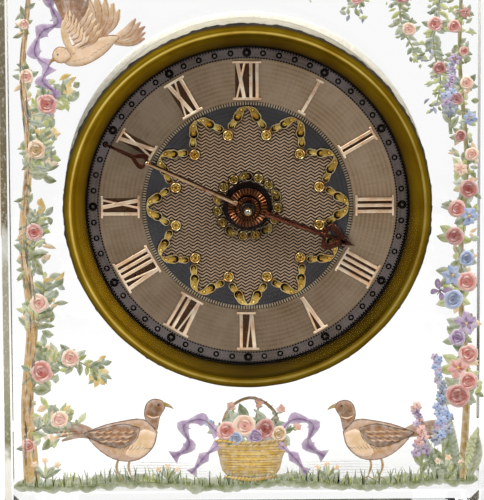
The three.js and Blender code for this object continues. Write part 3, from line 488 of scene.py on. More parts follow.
def banded_edge(name, tones):
    """A ground edge of the glass, its tone running through the colours given by height as painted
    reflections.
    """
    made = Nodes(name)
    mottle = made.noise(110.0, 6.0)
    height = made.node("SeparateXYZ", {0: made.place()}).outputs["Z"]
    tall = tones[-1][0]
    share = made.math("DIVIDE", height, tall * MM)
    uneven = made.math("ADD", share, made.spread(mottle, -0.03, 0.03))
    ramp = made.node("ValToRGB", {0: uneven})
    stops = ramp.color_ramp.elements
    while len(stops) < len(tones):
        stops.new(0.5)
    for stop, (place, tone) in zip(stops, tones):
        stop.position = place / tall
        stop.color = (*tone, 1.0)
    cloudy = made.mix(made.spread(mottle, 0.0, 0.55), ramp.outputs[0], (0.6, 0.56, 0.46), "MULTIPLY")
    frost = made.spread(made.noise(1500.0, 3.0), 0.0, 0.5, 0.52, 0.75)
    made.set(Base_Color=made.mix(frost, cloudy, ink(226, 224, 212)), Roughness=0.6)
    made.bump(mottle, 0.3, 0.0001)
    return made.material


TARNISH = ink(206, 184, 150)
RING_PITCH = 0.82


def silvered(name):
    """Silvered dial metal: fine rings and rays with tarnish, over the piece's tint."""
    made = Nodes(name)
    radius = made.polar()[1]
    rings = made.math("SINE", made.math("MULTIPLY", radius, 2 * math.pi / (RING_PITCH * MM)))
    rays = made.streaks(420.0, 180.0)
    cloud = made.noise(130.0, 5.0)
    worn = made.mix(made.spread(cloud, 0.0, 0.55, 0.35, 0.75), made.tint(), TARNISH, "MULTIPLY")
    brushed = made.mix(made.spread(rays, 0.0, 0.34), worn, (0.6, 0.57, 0.53), "MULTIPLY")
    patchy = made.spread(cloud, 0.0, 1.0, 0.35, 0.65)
    lines = made.math("MULTIPLY", made.spread(rings, 0.0, 0.75, -1.0, 1.0), patchy)
    made.set(
        Base_Color=made.mix(lines, brushed, (0.62, 0.6, 0.57), "MULTIPLY"),
        Metallic=1.0,
        Roughness=made.spread(cloud, 0.34, 0.46),
    )
    relief = made.math("ADD", made.math("MULTIPLY", rings, 0.5), made.math("MULTIPLY", rays, 0.2))
    made.bump(relief, 0.12, 0.00003)
    return made.material


def engine_turned(name):
    """Cut silver too fine to mirror anything: the piece's tint with a little tarnish."""
    made = Nodes(name)
    cloud = made.noise(130.0, 5.0)
    worn = made.spread(cloud, 0.0, 0.5, 0.35, 0.75)
    made.set(
        Base_Color=made.mix(worn, made.tint(), TARNISH, "MULTIPLY"),
        Roughness=made.spread(cloud, 0.5, 0.7),
        Specular_IOR_Level=0.05,
    )
    return made.material


def painted(name):
    """Fired enamel: the piece's tint, a little washed out in places, under a soft gloss."""
    made = Nodes(name)
    wash = made.noise(900.0, 4.0)
    grain = made.noise(5200.0, 3.0)
    thin = made.mix(made.spread(wash, 0.0, 0.26, 0.42, 0.75), made.tint(), ink(252, 250, 244))
    made.set(
        Base_Color=made.mix(made.spread(grain, 0.0, 0.3, 0.45, 0.8), thin, (0.72, 0.68, 0.62), "MULTIPLY"),
        Roughness=made.spread(grain, 0.35, 0.55),
        Specular_IOR_Level=0.3,
    )
    made.bump(grain, 0.2, 0.00004)
    return made.material


glass = clear_glass("block_glass", 1.46, (0.985, 0.99, 0.985), 0.03)
crystal_glass = clear_glass("crystal_glass", 1.12, WHITE, 0.005, THIN_GLASS_RAYS)
ground = matt("ground_glass", ink(154, 148, 131), ink(130, 124, 107), 400.0, 0.4)
# Painted reflections in bands by height: dark down the block's left edges, pale on its right side.
reflection_edge = banded_edge("reflection_edge", (
    (0, ink(228, 226, 216)), (10, ink(228, 226, 216)), (13, ink(116, 113, 76)), (19, ink(136, 132, 104)),
    (30, ink(160, 155, 132)), (48, ink(156, 152, 134)), (51, ink(200, 200, 194)), (57, ink(196, 196, 188)),
    (60, ink(104, 93, 66)), (84, ink(94, 84, 58)), (100, ink(108, 100, 76)), (122, ink(134, 131, 114)),
))
pale_edge = banded_edge("pale_edge", (
    (0, ink(206, 202, 186)), (30, ink(196, 191, 172)), (48, ink(204, 199, 182)), (70, ink(214, 211, 198)),
    (90, ink(226, 224, 214)), (122, ink(230, 229, 222)),
))
felt = matt("packing_felt", ink(232, 228, 216), ink(206, 200, 186), 1500.0, 0.8)
leather = matt("gasket_leather", ink(46, 38, 30), ink(20, 16, 13), 2200.0, 0.9, 0.7)
gilt = metal("gilt_brass", None, ink(222, 208, 160), (0.6, 0.7), 160.0, 0.02, (30.0, 6000.0))
silver = silvered("silvered_dial")
engraved = engine_turned("engraved_dial")
rose = metal("rose_gold", None, ink(236, 205, 184), (0.26, 0.42), 500.0)
gold = metal("yellow_gold", None, ink(214, 186, 140), (0.2, 0.38), 700.0)
copper = metal("copper_gilt", None, ink(190, 150, 130), (0.24, 0.42), 600.0)
case_brass = metal("case_brass", ink(190, 158, 82), ink(166, 134, 64), (0.24, 0.38), 70.0, 0.1,
                   (40.0, 7000.0))
works_brass = metal("movement_brass", ink(206, 174, 96), ink(170, 134, 66), (0.25, 0.4))
steel = metal("steel", ink(176, 176, 180), ink(120, 118, 120), (0.2, 0.36))
dark_steel = metal("dark_steel", ink(64, 54, 48), ink(40, 34, 32), (0.3, 0.46))
enamel = painted("fired_enamel")
blued = metal("blued_spring", ink(66, 78, 128), ink(42, 44, 84), (0.22, 0.34))


def corner_cut(depth):
    """How far a cut corner reaches along the edges of the block's outline at an inset."""
    share = 2 - math.sqrt(2)
    return BEVEL * (1 + share) - depth * share


def block_loop(depth, z, angles):
    """The block's outline at an inset, seen from the dial's centre at each angle."""
    c, s = np.abs(np.cos(angles)), np.abs(np.sin(angles))
    wide, tall = BLOCK_HALF - depth, BLOCK_UP - depth
    reach = np.minimum(wide / np.maximum(c, 1e-6), tall / np.maximum(s, 1e-6))
    reach = np.minimum(reach, (wide + tall - corner_cut(depth)) / (c + s))
    ring = np.column_stack((BLOCK_SHIFT + reach * np.cos(angles), reach * np.sin(angles)))
    return flat(ring, z)


def add_block():
    """The glass block, with its hole wall ground, and painted reflections on its left edges in dark bands and
    on its right side, pale.
    """
    steps, ease, edge_band = 256, 0.18, 0.5
    bevel_row, side_row = 2, 4
    wall, left, right = 1, 2, 3
    corners = []
    for depth in (0.0, BEVEL):
        wide, tall, cut = BLOCK_HALF - depth, BLOCK_UP - depth, corner_cut(depth)
        for x, y in ((wide, tall - cut), (wide - cut, tall)):
            turn = math.atan2(y, x)
            corners += [turn, math.pi - turn, math.pi + turn, 2 * math.pi - turn]
    angles = np.unique(np.round(np.concatenate((np.arange(steps) * 2 * math.pi / steps, corners)), 6))
    rim = [(BEVEL + ease, 0.0), (BEVEL - ease, -ease), (ease, ease - BEVEL), (0.0, -BEVEL - ease)]
    back = [(depth, -BLOCK_DEPTH - z) for depth, z in reversed(rim)]
    hole = np.column_stack((np.cos(angles), np.sin(angles))) * HOLE_RADIUS
    loops = [flat(hole, 0.0)]
    loops += [block_loop(depth, z, angles) for depth, z in rim + back]
    loops.append(flat(hole, -BLOCK_DEPTH))
    points, faces = loft(loops)
    shape = Shape().add((points, faces))
    count = len(angles)
    shape.kinds[-count:] = [wall] * count
    # The left edges and the right side take the painted reflections.
    for row in (bevel_row, side_row):
        for step in range(count):
            x = points[(row + 1) * count + step, 0] - BLOCK_SHIFT
            if x < edge_band - BLOCK_HALF:
                shape.kinds[row * count + step] = left
            elif row == side_row and x > BLOCK_HALF - edge_band:
                shape.kinds[row * count + step] = right
    shape.make("clear_block", [glass, ground, reflection_edge, pale_edge], slot="block_glass",
               replaces=["glass_block"], crease=12)


def add_turned(name, profile, material, slot, node, steps=192):
    """A turned piece in the place of one node."""
    Shape().add(lathe(profile, steps)).make(name, material, slot=slot, replaces=[node])


def add_packing():
    sleeve = oblong(SLEEVE_INNER, SLEEVE_OUTER, -BLOCK_DEPTH, 0.0)
    add_turned("felt_sleeve", rounded(sleeve, 0.1), felt, "packing_felt", "packing_sleeve")
    random.seed(11)
    steps, wander, fluff, bulge = 720, 0.28, 0.1, 0.06
    angles = np.arange(steps) * 2 * math.pi / steps
    waves = [(count, random.uniform(0, 2 * math.pi)) for count in (7, 13, 29, 53, 97)]
    ragged = sum(np.sin(count * angles + phase) for count, phase in waves) / len(waves)
    frayed = GASKET_OUTER + wander * ragged + fluff * np.array([random.random() ** 3 for _ in range(steps)])
    ring = circle(1.0, steps)
    gasket = Shape().add(loft([
        flat(ring * GASKET_INNER, GASKET_BACK),
        flat(ring * frayed[:, None], GASKET_BACK),
        flat(ring * (frayed + bulge)[:, None], (GASKET_BACK + GASKET_FRONT) / 2),
        flat(ring * frayed[:, None], GASKET_FRONT),
        flat(ring * GASKET_INNER, GASKET_FRONT),
    ]))
    gasket.make("frayed_gasket", leather, slot="gasket_leather", replaces=["bezel_gasket"])


# Painted light and shade on the gilt's slope, ridge and rim: how much brighter or darker each is painted,
# every 45 degrees from the top.
SLOPE_SHADING = (0.52, 0.86, 0.82, 0.22, 0.24, 0.8, 1.08, 1.08)
RIDGE_SHADING = (1.0, 0.85, 0.55, 0.55, 0.6, 0.95, 1.1, 1.1)
RIM_SHADING = (0.6, 0.5, 0.66, 0.62, 0.5, 0.76, 0.85, 0.5)


def add_bezel():
    profile = rounded([
        (APERTURE, -0.15), (31.15, -0.15), (31.15, BEZEL_BACK), (31.75, BEZEL_BACK), (31.75, 1.0),
        (BEZEL_OUTER, 1.0), (BEZEL_OUTER, 1.5), (34.76, 2.34), (34.34, 2.76), (33.8, BEZEL_FRONT),
        (33.3, BEZEL_FRONT), (33.3, 2.0), (32.5, 2.0), (32.1, 1.78), (31.4, 1.11), (30.85, 0.58),
        (30.65, 0.39), (APERTURE, 0.25),
    ], 0.22, 4)
    # Gilt tones by radius, with painted shade as a black line at the inner edge and a dark outer edge, and a
    # painted highlight on the ridge.
    tones = (
        (30.66, ink(14, 11, 10)), (30.82, ink(84, 64, 8)), (31.6, ink(116, 90, 6)), (33.0, ink(124, 98, 8)),
        (33.35, ink(146, 118, 24)), (33.7, ink(216, 194, 110)), (34.0, ink(154, 126, 22)),
        (34.7, ink(112, 90, 14)), (35.0, ink(46, 37, 14)),
    )
    points, faces = lathe(profile, 256)
    radii, bearings = bearings_of(points)
    marks = [mark for mark, _ in tones]
    tints = np.column_stack([np.interp(radii, marks, [tone[k] for _, tone in tones]) for k in range(3)])
    # The slope, ridge and rim are painted lighter or darker by bearing, as light and shade.
    zones = ((30.0, 33.2, SLOPE_SHADING), (33.2, 33.9, RIDGE_SHADING), (33.9, 35.1, RIM_SHADING))
    for inner, outer, shading in zones:
        zone = (radii >= inner) & (radii < outer)
        stops = np.linspace(0, 360, len(shading) + 1)
        tints[zone] *= np.interp(bearings, stops, shading + shading[:1])[zone, None]
    dented_from, dent_depth = 34.6, 0.0025
    dents = sum(np.sin(np.radians(bearings) * count + count) for count in (5, 11, 18, 31)) / 4
    points[:, :2] *= np.where(radii > dented_from, 1 + dent_depth * dents, 1.0)[:, None]
    shape = Shape().add((points, faces), tints)
    shape.make("turned_bezel", gilt, slot="gilt_brass", replaces=["bezel"], crease=50)


def add_crystal():
    steps, sides = 24, 128

    def arc(chord, base, apex):
        rise = apex - base
        sphere = (chord * chord + rise * rise) / (2 * rise)
        radii = chord * np.arange(steps) / steps
        return [(r, apex - sphere + math.sqrt(sphere * sphere - r * r)) for r in radii]

    seat, top = back_of("crystal"), front_of("crystal")
    shoulder, edge, hollow = 2.9, 3.05, 7.75
    ease, pole = 0.1, 0.05
    inner, outer = arc(CRYSTAL_INNER, seat, hollow), arc(CRYSTAL_RADIUS, edge, top)
    inner[0], outer[0] = (pole, inner[0][1]), (pole, outer[0][1])
    rim = [(CRYSTAL_INNER, seat), (CRYSTAL_RADIUS, seat), (CRYSTAL_RADIUS, shoulder),
           (CRYSTAL_RADIUS - ease, edge)]
    ring = circle(1.0, sides)
    loops = [flat(ring * r, z) for r, z in inner + rim + outer[::-1]]
    Shape().add(capped(loops)).make("domed_crystal", crystal_glass, slot="crystal_glass",
                                    replaces=["crystal"], crease=20)


def lobe_radius(degrees):
    """Radius of the wreath's middle line at an angle, with its tips at the hours."""
    spread = abs((degrees + 15) % 30 - 15)
    return float(np.interp(spread, [0, 1, 3.8, 5.8, 7.4, 11.2, 13, 15],
                           [18.5, 18.5, 18.0, 17.0, 16.3, 15.6, 14.9, 14.5]))


# Painted sheen on the dial's ring: how much brighter or darker it is painted, by the angle clockwise from
# twelve.
RING_SHEEN = ((0, 1.12), (45, 1.2), (90, 1.2), (135, 0.88), (180, 0.8), (225, 0.86), (270, 0.98), (300, 0.8),
             (330, 0.92), (360, 1.12))


def add_dial():
    face, track, middle = ink(152, 133, 111), ink(110, 101, 99), ink(194, 180, 158)
    slope, step = 0.06, 0.05
    points, faces = lathe([
        (DIAL_BORE, DIAL_BACK), (DIAL_RADIUS, DIAL_BACK), (DIAL_RADIUS, DIAL_FACE),
        (BAND_OUTER + slope, DIAL_FACE), (BAND_OUTER - slope, BAND_FACE),
        (TRACK_RADIUS, BAND_FACE), (BAND_INNER + slope, BAND_FACE),
        (BAND_INNER - slope, DIAL_FACE), (24.0, DIAL_FACE), (CENTRE_RADIUS + step, DIAL_FACE),
        (CENTRE_RADIUS - step, CENTRE_FACE), (DIAL_BORE, CENTRE_FACE),
    ], 256)
    radii, bearings = bearings_of(points)
    # The ring's tint carries the painted sheen by bearing.
    tints = np.tile(face, (len(points), 1)) * np.interp(bearings, *zip(*RING_SHEEN))[:, None]
    tints[(radii > BAND_INNER) & (radii < BAND_OUTER)] = track
    tints[radii < CENTRE_RADIUS] = middle
    # Outside the band the plate is painted black, as the shadow under the bezel's inner edge.
    tints[radii > BAND_OUTER] = BLACK_FILL_AND_SHADE
    Shape().add((points, faces), tints).make("dial_plate", silver, slot="silvered_dial", replaces=["dial"])


def add_dial_marks():
    """Minute and hour cups, the pricked edges of their band, and the hatched ring."""
    sunk, flush = 0.1, 0.01
    marks = Shape()
    for minute in range(60):
        hour = minute % 5 == 0
        place = on_dial(TRACK_RADIUS, minute * 6)
        cup, bead = (0.86, 0.28) if hour else (0.6, 0.27)
        shine = ink(92, 88, 86) if hour else ink(114, 108, 106)
        marks.add(prism(circle(cup, 16, place), BAND_FACE - sunk, BAND_FACE + 0.03, 0.02), BLACK_FILL_AND_SHADE)
        marks.add(dome(place, bead, BAND_FACE, 0.16, 10), shine)
    for radius, count, size in ((BAND_OUTER - 0.1, 340, 0.19), (BAND_INNER + 0.05, 330, 0.18)):
        for step in range(count):
            place = on_dial(radius, step * 360 / count)
            marks.add(prism(circle(size, 6, place), BAND_FACE - sunk, DIAL_FACE + flush), BLACK_FILL_AND_SHADE)
    half, hatch_outer, dashes = 0.1, 19.9, 250
    dash = np.array([(-half, HATCH_INNER), (half, HATCH_INNER), (half, hatch_outer), (-half, hatch_outer)])
    for step in range(dashes):
        marks.add(prism(turned(dash, step * 360 / dashes), CENTRE_FACE - sunk, DIAL_FACE + flush), BLACK_FILL_AND_SHADE)
    marks.make("dial_marks", silver, slot="silvered_dial")


def add_guilloche():
    """Wavy rows cut side by side over the dial's centre, each with a groove tinted dark as painted shade and
    a land tinted pale as painted light.
    """
    pitch, wave, swing, depth, clear = 0.62, 1.64, 0.2, 0.08, 0.02
    places, lifts = np.array((0.0, 0.4, 0.46, 0.94)), np.array((0.0, 0.0, 1.0, 1.0))
    light, dark = np.array(ink(160, 137, 114)), np.array(ink(12, 9, 8))
    reach, step, lines = WREATH_TIP, wave / 8, len(places)
    columns = np.arange(-reach, reach + step, step)
    rows = np.arange(int(-reach / pitch) * lines - lines, int(reach / pitch) * lines + lines + 1)
    x = np.tile(columns, (len(rows), 1))
    zigzag = np.arcsin(0.96 * np.sin(2 * math.pi * x / wave))
    y = pitch * (rows // lines + places[rows % lines])[:, None] + swing * zigzag
    lift = lifts[rows % lines][:, None]
    z = np.repeat(CENTRE_FACE + clear + depth * lift, len(columns), axis=1)
    inside = np.hypot(x, y) < np.vectorize(lobe_radius)(np.degrees(np.arctan2(x, y)))
    keep = inside[:-1, :-1] & inside[1:, :-1] & inside[:-1, 1:] & inside[1:, 1:]
    index = np.arange(x.size).reshape(x.shape)
    faces = np.stack((index[:-1, :-1], index[:-1, 1:], index[1:, 1:], index[1:, :-1]), axis=-1)[keep]
    used, renamed = np.unique(faces, return_inverse=True)
    points = np.column_stack((x.ravel(), y.ravel(), z.ravel()))[used]
    # Painted light: one side of each wave is tinted a little lighter than the other.
    slope = np.cos(2 * math.pi * x / wave + 0.9)
    share = (lift * (0.92 + 0.08 * slope)).ravel()[used]
    tints = dark + (light - dark) * share[:, None]
    shape = Shape().add((points, renamed.reshape(faces.shape).tolist()), tints)
    shape.make("guilloche_centre", engraved, slot="silvered_dial", crease=80)


def add_dial_field():
    """The dark field outside the wreath, and a dark disc round the hands that is painted shadow."""
    field_face, seat_face = RELIEF_FLOOR + 0.03, RELIEF_FLOOR + 0.05
    steps = 720
    angles = [step * 360 / steps for step in range(steps)]
    inner = np.array([on_dial(lobe_radius(angle) - 0.1, angle) for angle in angles])[::-1]
    outer = np.array([on_dial(HATCH_INNER - 0.02, angle) for angle in angles])[::-1]
    field = Shape().add(loft([
        flat(outer, CENTRE_FACE), flat(outer, field_face), flat(inner, field_face), flat(inner, CENTRE_FACE),
    ]), ink(74, 74, 78))
    # A painted shadow round the hands' hubs.
    seat = [(DIAL_BORE, CENTRE_FACE), (4.75, CENTRE_FACE), (4.6, seat_face), (DIAL_BORE, seat_face)]
    field.add(lathe(seat, 64), ink(40, 32, 30))
    field.make("dial_field", silver, slot="silvered_dial")


# Tints of one gilt: the pale rim and the bright scales are painted highlights, and the dark rim round leaves
# and rosettes is painted shadow.
GOLD = ink(160, 126, 38)
GOLD_LIGHT = ink(226, 200, 112)
GOLD_RIM_HIGHLIGHT = ink(238, 222, 176)
GOLD_HIGHLIGHT = ink(248, 228, 146)
GOLD_PETAL = ink(202, 174, 88)
GOLD_SEAT = ink(144, 112, 42)
GOLD_BROWN = ink(106, 74, 28)
GOLD_DARK = ink(34, 23, 12)


def band(points, halves):
    """A closed outline along a curve, round at both ends."""
    path = smooth_line(points, 12)
    widths = np.interp(np.linspace(0, 1, len(path)), np.linspace(0, 1, len(halves)), halves)[:, None]
    ahead = np.gradient(path, axis=0)
    ahead /= np.linalg.norm(ahead, axis=1, keepdims=True)
    side = np.column_stack((-ahead[:, 1], ahead[:, 0]))
    turns = np.linspace(0, math.pi, 8)[1:-1, None]
    head = path[-1] + widths[-1] * (np.sin(turns) * ahead[-1] + np.cos(turns) * side[-1])
    foot = path[0] - widths[0] * (np.sin(turns) * ahead[0] + np.cos(turns) * side[0])
    return np.concatenate((path + side * widths, head, (path - side * widths)[::-1], foot))


def crescent(centre, radius, half, facing, back, height):
    """A dark open ring round an eye, its gap facing a way."""
    angles = np.radians(np.linspace(facing + 50, facing + 310, 12))
    path = np.column_stack((centre[0] + radius * np.cos(angles), centre[1] + radius * np.sin(angles)))
    halves = half * np.sin(np.linspace(0.25, math.pi - 0.25, 12))
    return strip(path, halves, back, height, 4)


def rosette(centre, radius, back):
    made = Shape()
    # A dark ring of painted shadow round the rosette, and a pale rim that is a painted highlight.
    made.add(prism(circle(radius + 0.13, 16, centre), back - 0.04, back + 0.08), GOLD_DARK)
    made.add(prism(circle(radius, 16, centre), back, back + 0.24, 0.08), GOLD_SEAT)
    made.add(strip(circle(radius - 0.13, 18, centre), 0.13, back + 0.16, 0.26, 4, True), GOLD_RIM_HIGHLIGHT)
    for petal in range(6):
        place = np.asarray(centre) + circle(0.48 * radius, 6)[petal]
        made.add(dome(place, 0.25 * radius, back + 0.18, 0.11, 6, 2), GOLD_PETAL)
    made.add(dome(centre, 0.24 * radius, back + 0.2, 0.12, 6, 2), GOLD_BROWN)
    return made


def chased_leaf(points, halves, back, scales=(4, 9)):
    """A curled gold leaf with a dark rim of painted shadow round it, a fine rim tinted as a painted
    highlight, chased scales with painted highlights and an eye at its broad end.
    """
    made = Shape()
    outline = band(points, halves)
    head, half = np.asarray(points[-1], float), halves[-1]
    made.add(prism(inset(outline, -0.14), back - 0.04, back + 0.08), GOLD_DARK)
    body, faces = prism(outline, back, back + 0.34, 0.14)
    reach = np.linalg.norm(head - points[0])
    share = np.clip(np.linalg.norm(body[:, :2] - head, axis=1) / reach, 0, 1)[:, None]
    made.add((body, faces), np.array(GOLD) * 0.8 * (1 - share) + np.array(GOLD_LIGHT) * share)
    made.add(strip(inset(outline, 0.08), 0.11, back + 0.22, 0.24, 3, True), GOLD_RIM_HIGHLIGHT)
    path = smooth_line(points, 20)
    ahead = path[-1] - path[-3]
    facing = math.degrees(math.atan2(-ahead[1], -ahead[0]))
    made.add(crescent(head, 0.64 * half, 0.36 * half, facing, back + 0.26, 0.26), GOLD_DARK)
    made.add(dome(head, 0.3 * half, back + 0.26, 0.26, 8), GOLD)
    for step in scales:
        scale = np.interp(step / 20, np.linspace(0, 1, len(halves)), halves)
        drift = path[step + 1] - path[step]
        turn = math.degrees(math.atan2(-drift[1], -drift[0]))
        made.add(crescent(path[step], 0.5 * scale, 0.12 * scale, turn, back + 0.27, 0.13), GOLD_BROWN)
        made.add(dome(path[step], 0.26 * scale, back + 0.26, 0.2, 7), GOLD_HIGHLIGHT)
    return made


def add_wreath():
    """Twelve lobes of chased leaves, each pair of them meeting at a rosette."""
    back = RELIEF_FLOOR
    lobe = Shape()
    for side in (-1, 1):
        leaf = [on_dial(radius, turn * side) for radius, turn in ((18.85, 0.7), (18.25, 3.6), (17.05, 6.0))]
        bead = [on_dial(radius, turn * side) for radius, turn in ((16.5, 7.8), (16.05, 9.4), (15.6, 10.9))]
        link = [bead[-1], on_dial(14.6, 14.0 * side)]
        lobe.add(strip(link, 0.42, back - 0.04, 0.3), GOLD_BROWN)
        lobe.merge(chased_leaf(bead, (0.5, 0.64, 0.68), back - 0.06, ()))
        lobe.merge(chased_leaf(leaf, (0.22, 0.66, 0.9), back))
    lobe.merge(rosette(on_dial(13.95, 15), 1.0, back))
    wreath = Shape()
    for hour in range(12):
        wreath.merge(lobe.turned(30 * hour))
    wreath.make("scroll_wreath", gold, slot="yellow_gold", replaces=["dial_wreath"], crease=50)


def add_garland():
    """A darker ring of rosettes round the hands, with a leaf at every third place."""
    back, count, shadow = RELIEF_FLOOR, 15, 0.48
    leaf = [on_dial(RING_RADIUS - 0.15, -8.5), on_dial(RING_RADIUS + 0.15, -3), on_dial(RING_RADIUS, 4)]
    ring = Shape()
    for place in range(count):
        turn = 360 * place / count - 3
        link = [on_dial(RING_RADIUS, turn + share * 360 / count) for share in (0.3, 0.5, 0.7)]
        ring.add(strip(link, 0.34, back - 0.04, 0.26), GOLD_BROWN)
        if place % 3 == 0:
            ring.merge(chased_leaf(leaf, (0.45, 0.75, 0.88), back).turned(turn))
        else:
            ring.merge(rosette(on_dial(RING_RADIUS, turn), 0.92, back))
    ring.tints = [tint * shadow for tint in ring.tints]
    ring.make("rosette_garland", gold, slot="yellow_gold", replaces=["rosette_ring"], crease=50)


# The numerals' gold is tinted lighter on their tops and darker on their sides, as painted light and shade.
ROSE = ink(231, 215, 190)
ROSE_SIDE_SHADE = ink(120, 80, 54)
LETTERS = {
    "I": (0.62, [(0.5, 0.5, 0.62)]),
    "V": (2.1, [(0.5, 0.18, 0.74), (0.5, 0.9, 0.38)]),
    "X": (2.1, [(0.84, 0.16, 0.74), (0.1, 0.9, 0.38)]),
}
LETTER_GAP = 0.54
SERIF = 0.44
OVERHANG = 0.5


def numeral_outlines(text):
    """The dark plate of a numeral, and its strokes and serifs, all about its middle."""
    high = NUMERAL_HEIGHT / 2
    length = sum(LETTERS[letter][0] for letter in text) + LETTER_GAP * (len(text) - 1)
    left = -length / 2
    strokes, feet, heads = [], [], []
    for letter in text:
        width, parts = LETTERS[letter]
        for foot, head, thick in parts:
            low, up, half = left + foot * width, left + head * width, thick / 2
            strokes.append([(low - half, -high), (low + half, -high), (up + half, high), (up - half, high)])
            feet += [low - half, low + half]
            heads += [up - half, up + half]
        left += width + LETTER_GAP
    low, up = (min(feet), max(feet)), (min(heads), max(heads))
    plate = [(low[0], -high), (low[1], -high), (up[1], high), (up[0], high)]
    bars = [(up, high - SERIF, high)] + [(low, -high, SERIF - high)] * (text != "V")
    for ends, bottom, top in bars:
        strokes.append(oblong(ends[0] - OVERHANG, ends[1] + OVERHANG, bottom, top))
    return plate, strokes


def add_numerals():
    foot, plate_face, face, bevel = DIAL_FACE + 0.02, DIAL_FACE + 0.06, DIAL_FACE + 0.55, 0.09
    shift = np.array((0.0, NUMERAL_OUTER - NUMERAL_HEIGHT / 2))
    texts = ("I", "II", "III", "IIII", "V", "VI", "VII", "VIII", "IX", "X", "XI", "XII")
    for hour, text in enumerate(texts, 1):
        plate, strokes = numeral_outlines(text)
        shape = Shape().add(prism(np.array(plate) + shift, DIAL_FACE - 0.02, plate_face), DARK_BRONZE)
        for index, stroke in enumerate(strokes):
            points, faces = prism(np.array(stroke) + shift, foot, face + 0.01 * index, bevel)
            # Tops painted lit, sides painted in shade.
            tints = np.where((points[:, 2] > face - 0.1)[:, None], ROSE, ROSE_SIDE_SHADE)
            shape.add((points, faces), tints)
        shape.turned(30 * hour).make(f"roman_{hour}", rose, slot="rose_gold", replaces=[f"numeral_{hour}"])


# The hands' darker copper tints are painted shade: the hour hand's shaft and head, the minute hand's head and
# tip, and a dark strip along each shaft as a shaded flank.
COPPER = ink(180, 152, 120)
COPPER_WARM = ink(124, 82, 51)
COPPER_SHADED = ink(74, 42, 30)
COPPER_DARK = ink(70, 40, 28)
COPPER_SHAFT = ink(108, 66, 50)


def roped_ring(shape, inner, outer, back, height, count):
    """A hub ring of small ribs side by side."""
    bed = rounded(oblong(inner, outer, back, back + 0.4 * height), 0.1)
    shape.add(lathe(bed, 64), COPPER_DARK)
    half = 1.02 * math.pi * (inner + outer) / 2 / count
    for rib in range(count):
        start, end = on_dial(inner + 0.12, rib * 360 / count), on_dial(outer - 0.06, rib * 360 / count)
        path = [start + (end - start) * t for t in np.linspace(0, 1, 5)]
        ribs = half * np.array((0.7, 0.95, 1.0, 1.0, 0.8))
        shape.add(strip(path, ribs, back + 0.2 * height, 0.8 * height, 4), COPPER_WARM)


def spade(low, high, half):
    """An outline widest near its start and hollowed towards its end."""
    t = np.linspace(0, 1, 15)
    along = 1.5 * (1 - t) * t * t + t ** 3
    side = np.column_stack((3 * half * t * (1 - t) * (2 - t), low + (high - low) * along))
    return np.concatenate((side, side[::-1][1:-1] * (-1, 1)))


def add_hour_hand():
    hand = Shape()
    back, front = HOUR_BACK, HOUR_BACK + HAND_THICK
    roped_ring(hand, 2.4, 3.7, back, 0.75, 34)
    # The black ring between the two hubs is painted shade.
    hand.add(lathe(oblong(DIAL_BORE, 2.45, back, back + 0.25), 48), BLACK_FILL_AND_SHADE)
    hand.add(strip([(0, 3.4), (0, 5), (0, 15.2)], (0.68, 0.56, 0.48), back, HAND_THICK, 6), COPPER_SHAFT)
    # A dark strip along the shaft: a painted shaded flank.
    hand.add(strip([(-0.3, 4.2), (-0.24, 15.0)], (0.16, 0.14), back + 0.1, HAND_THICK - 0.06, 4), COPPER_DARK)
    hand.add(dome((0, 15.1), 0.72, back, 0.75, 12), COPPER_SHADED)
    hand.add(framed(spade(15.2, 19.9, 2.25), spade(15.85, 18.3, 1.15), back, front, 0.12), COPPER_SHADED)
    hand.add(strip([(0, 15.3), (0, 19.2)], (0.4, 0.3), back, 0.45), COPPER_SHADED)
    for side in (-1, 1):
        hand.add(dome((2.15 * side, 16.0), 0.52, back, 0.62, 10), COPPER_SHADED)
        curl = [(0.4 * side, 18.6), (0.95 * side, 19.0), (1.15 * side, 19.5), (0.8 * side, 19.9)]
        hand.add(strip(curl, (0.24, 0.22, 0.18, 0.14), back, 0.5), COPPER_SHADED)
    point = [(-0.45, 18.6), (0.45, 18.6), (0.6, 19.6), (0.0, 21.7), (-0.6, 19.6)]
    hand.add(prism(point, back, front, 0.12), COPPER_SHADED)
    hand.turned(HOUR_ANGLE).make("pierced_hour_hand", copper, "hour_pipe", "copper_gilt", ["hour_hand"])


def add_minute_hand():
    hand = Shape()
    back, front = MINUTE_BACK, MINUTE_BACK + HAND_THICK
    roped_ring(hand, 1.35, 2.2, back, 0.7, 24)
    hand.add(strip([(0, 2.2), (0, 4), (0, 20.8)], (0.54, 0.44, 0.38), back, HAND_THICK, 6), COPPER)
    # A dark strip along the shaft: a painted shaded flank.
    hand.add(strip([(0.3, 3.0), (0.24, 20.6)], (0.19, 0.17), back, HAND_THICK + 0.04, 4), COPPER_DARK)
    hand.add(dome((0, 20.8), 0.6, back, 0.7, 12), COPPER)
    # The head and tip are tinted dark as painted shade.
    hand.add(framed(spade(20.9, 24.4, 1.35), spade(21.4, 23.1, 0.5), back, front, 0.1), COPPER_SHADED)
    for side in (-1, 1):
        hand.add(dome((1.2 * side, 21.4), 0.36, back, 0.55, 8), COPPER_SHADED)
    tip = [(0, 23.7), (0, 25.0), (0, 27.5), (0, 29.7)]
    hand.add(strip(tip, (0.46, 0.4, 0.32, 0.2), back, HAND_THICK, 5), COPPER_SHADED)
    hand = hand.turned(MINUTE_ANGLE)
    hand.make("pierced_minute_hand", copper, "minute_arbor", "copper_gilt", ["minute_hand"])


def add_hands():
    add_hour_hand()
    add_minute_hand()
    bore, radius, back, top = 0.9, half_width("hand_nut"), back_of("hand_nut"), 3.95
    nut = rounded([(bore, back), (radius, back), (radius, 3.5), (1.15, top), (bore, top)], 0.12)
    Shape().add(lathe(nut, 32)).make("round_hand_nut", dark_steel, "minute_arbor", "steel", ["hand_nut"])
    pin = [flat(circle(radius, 24), z) for radius, z in (
        (0.84, 3.6), (0.72, 5.0), (0.6, 6.5), (0.48, 6.85), (0.28, 7.0), (0.05, 7.04))]
    Shape().add(capped(pin)).make("arbor_end", steel, "minute_arbor", "steel", crease=60)


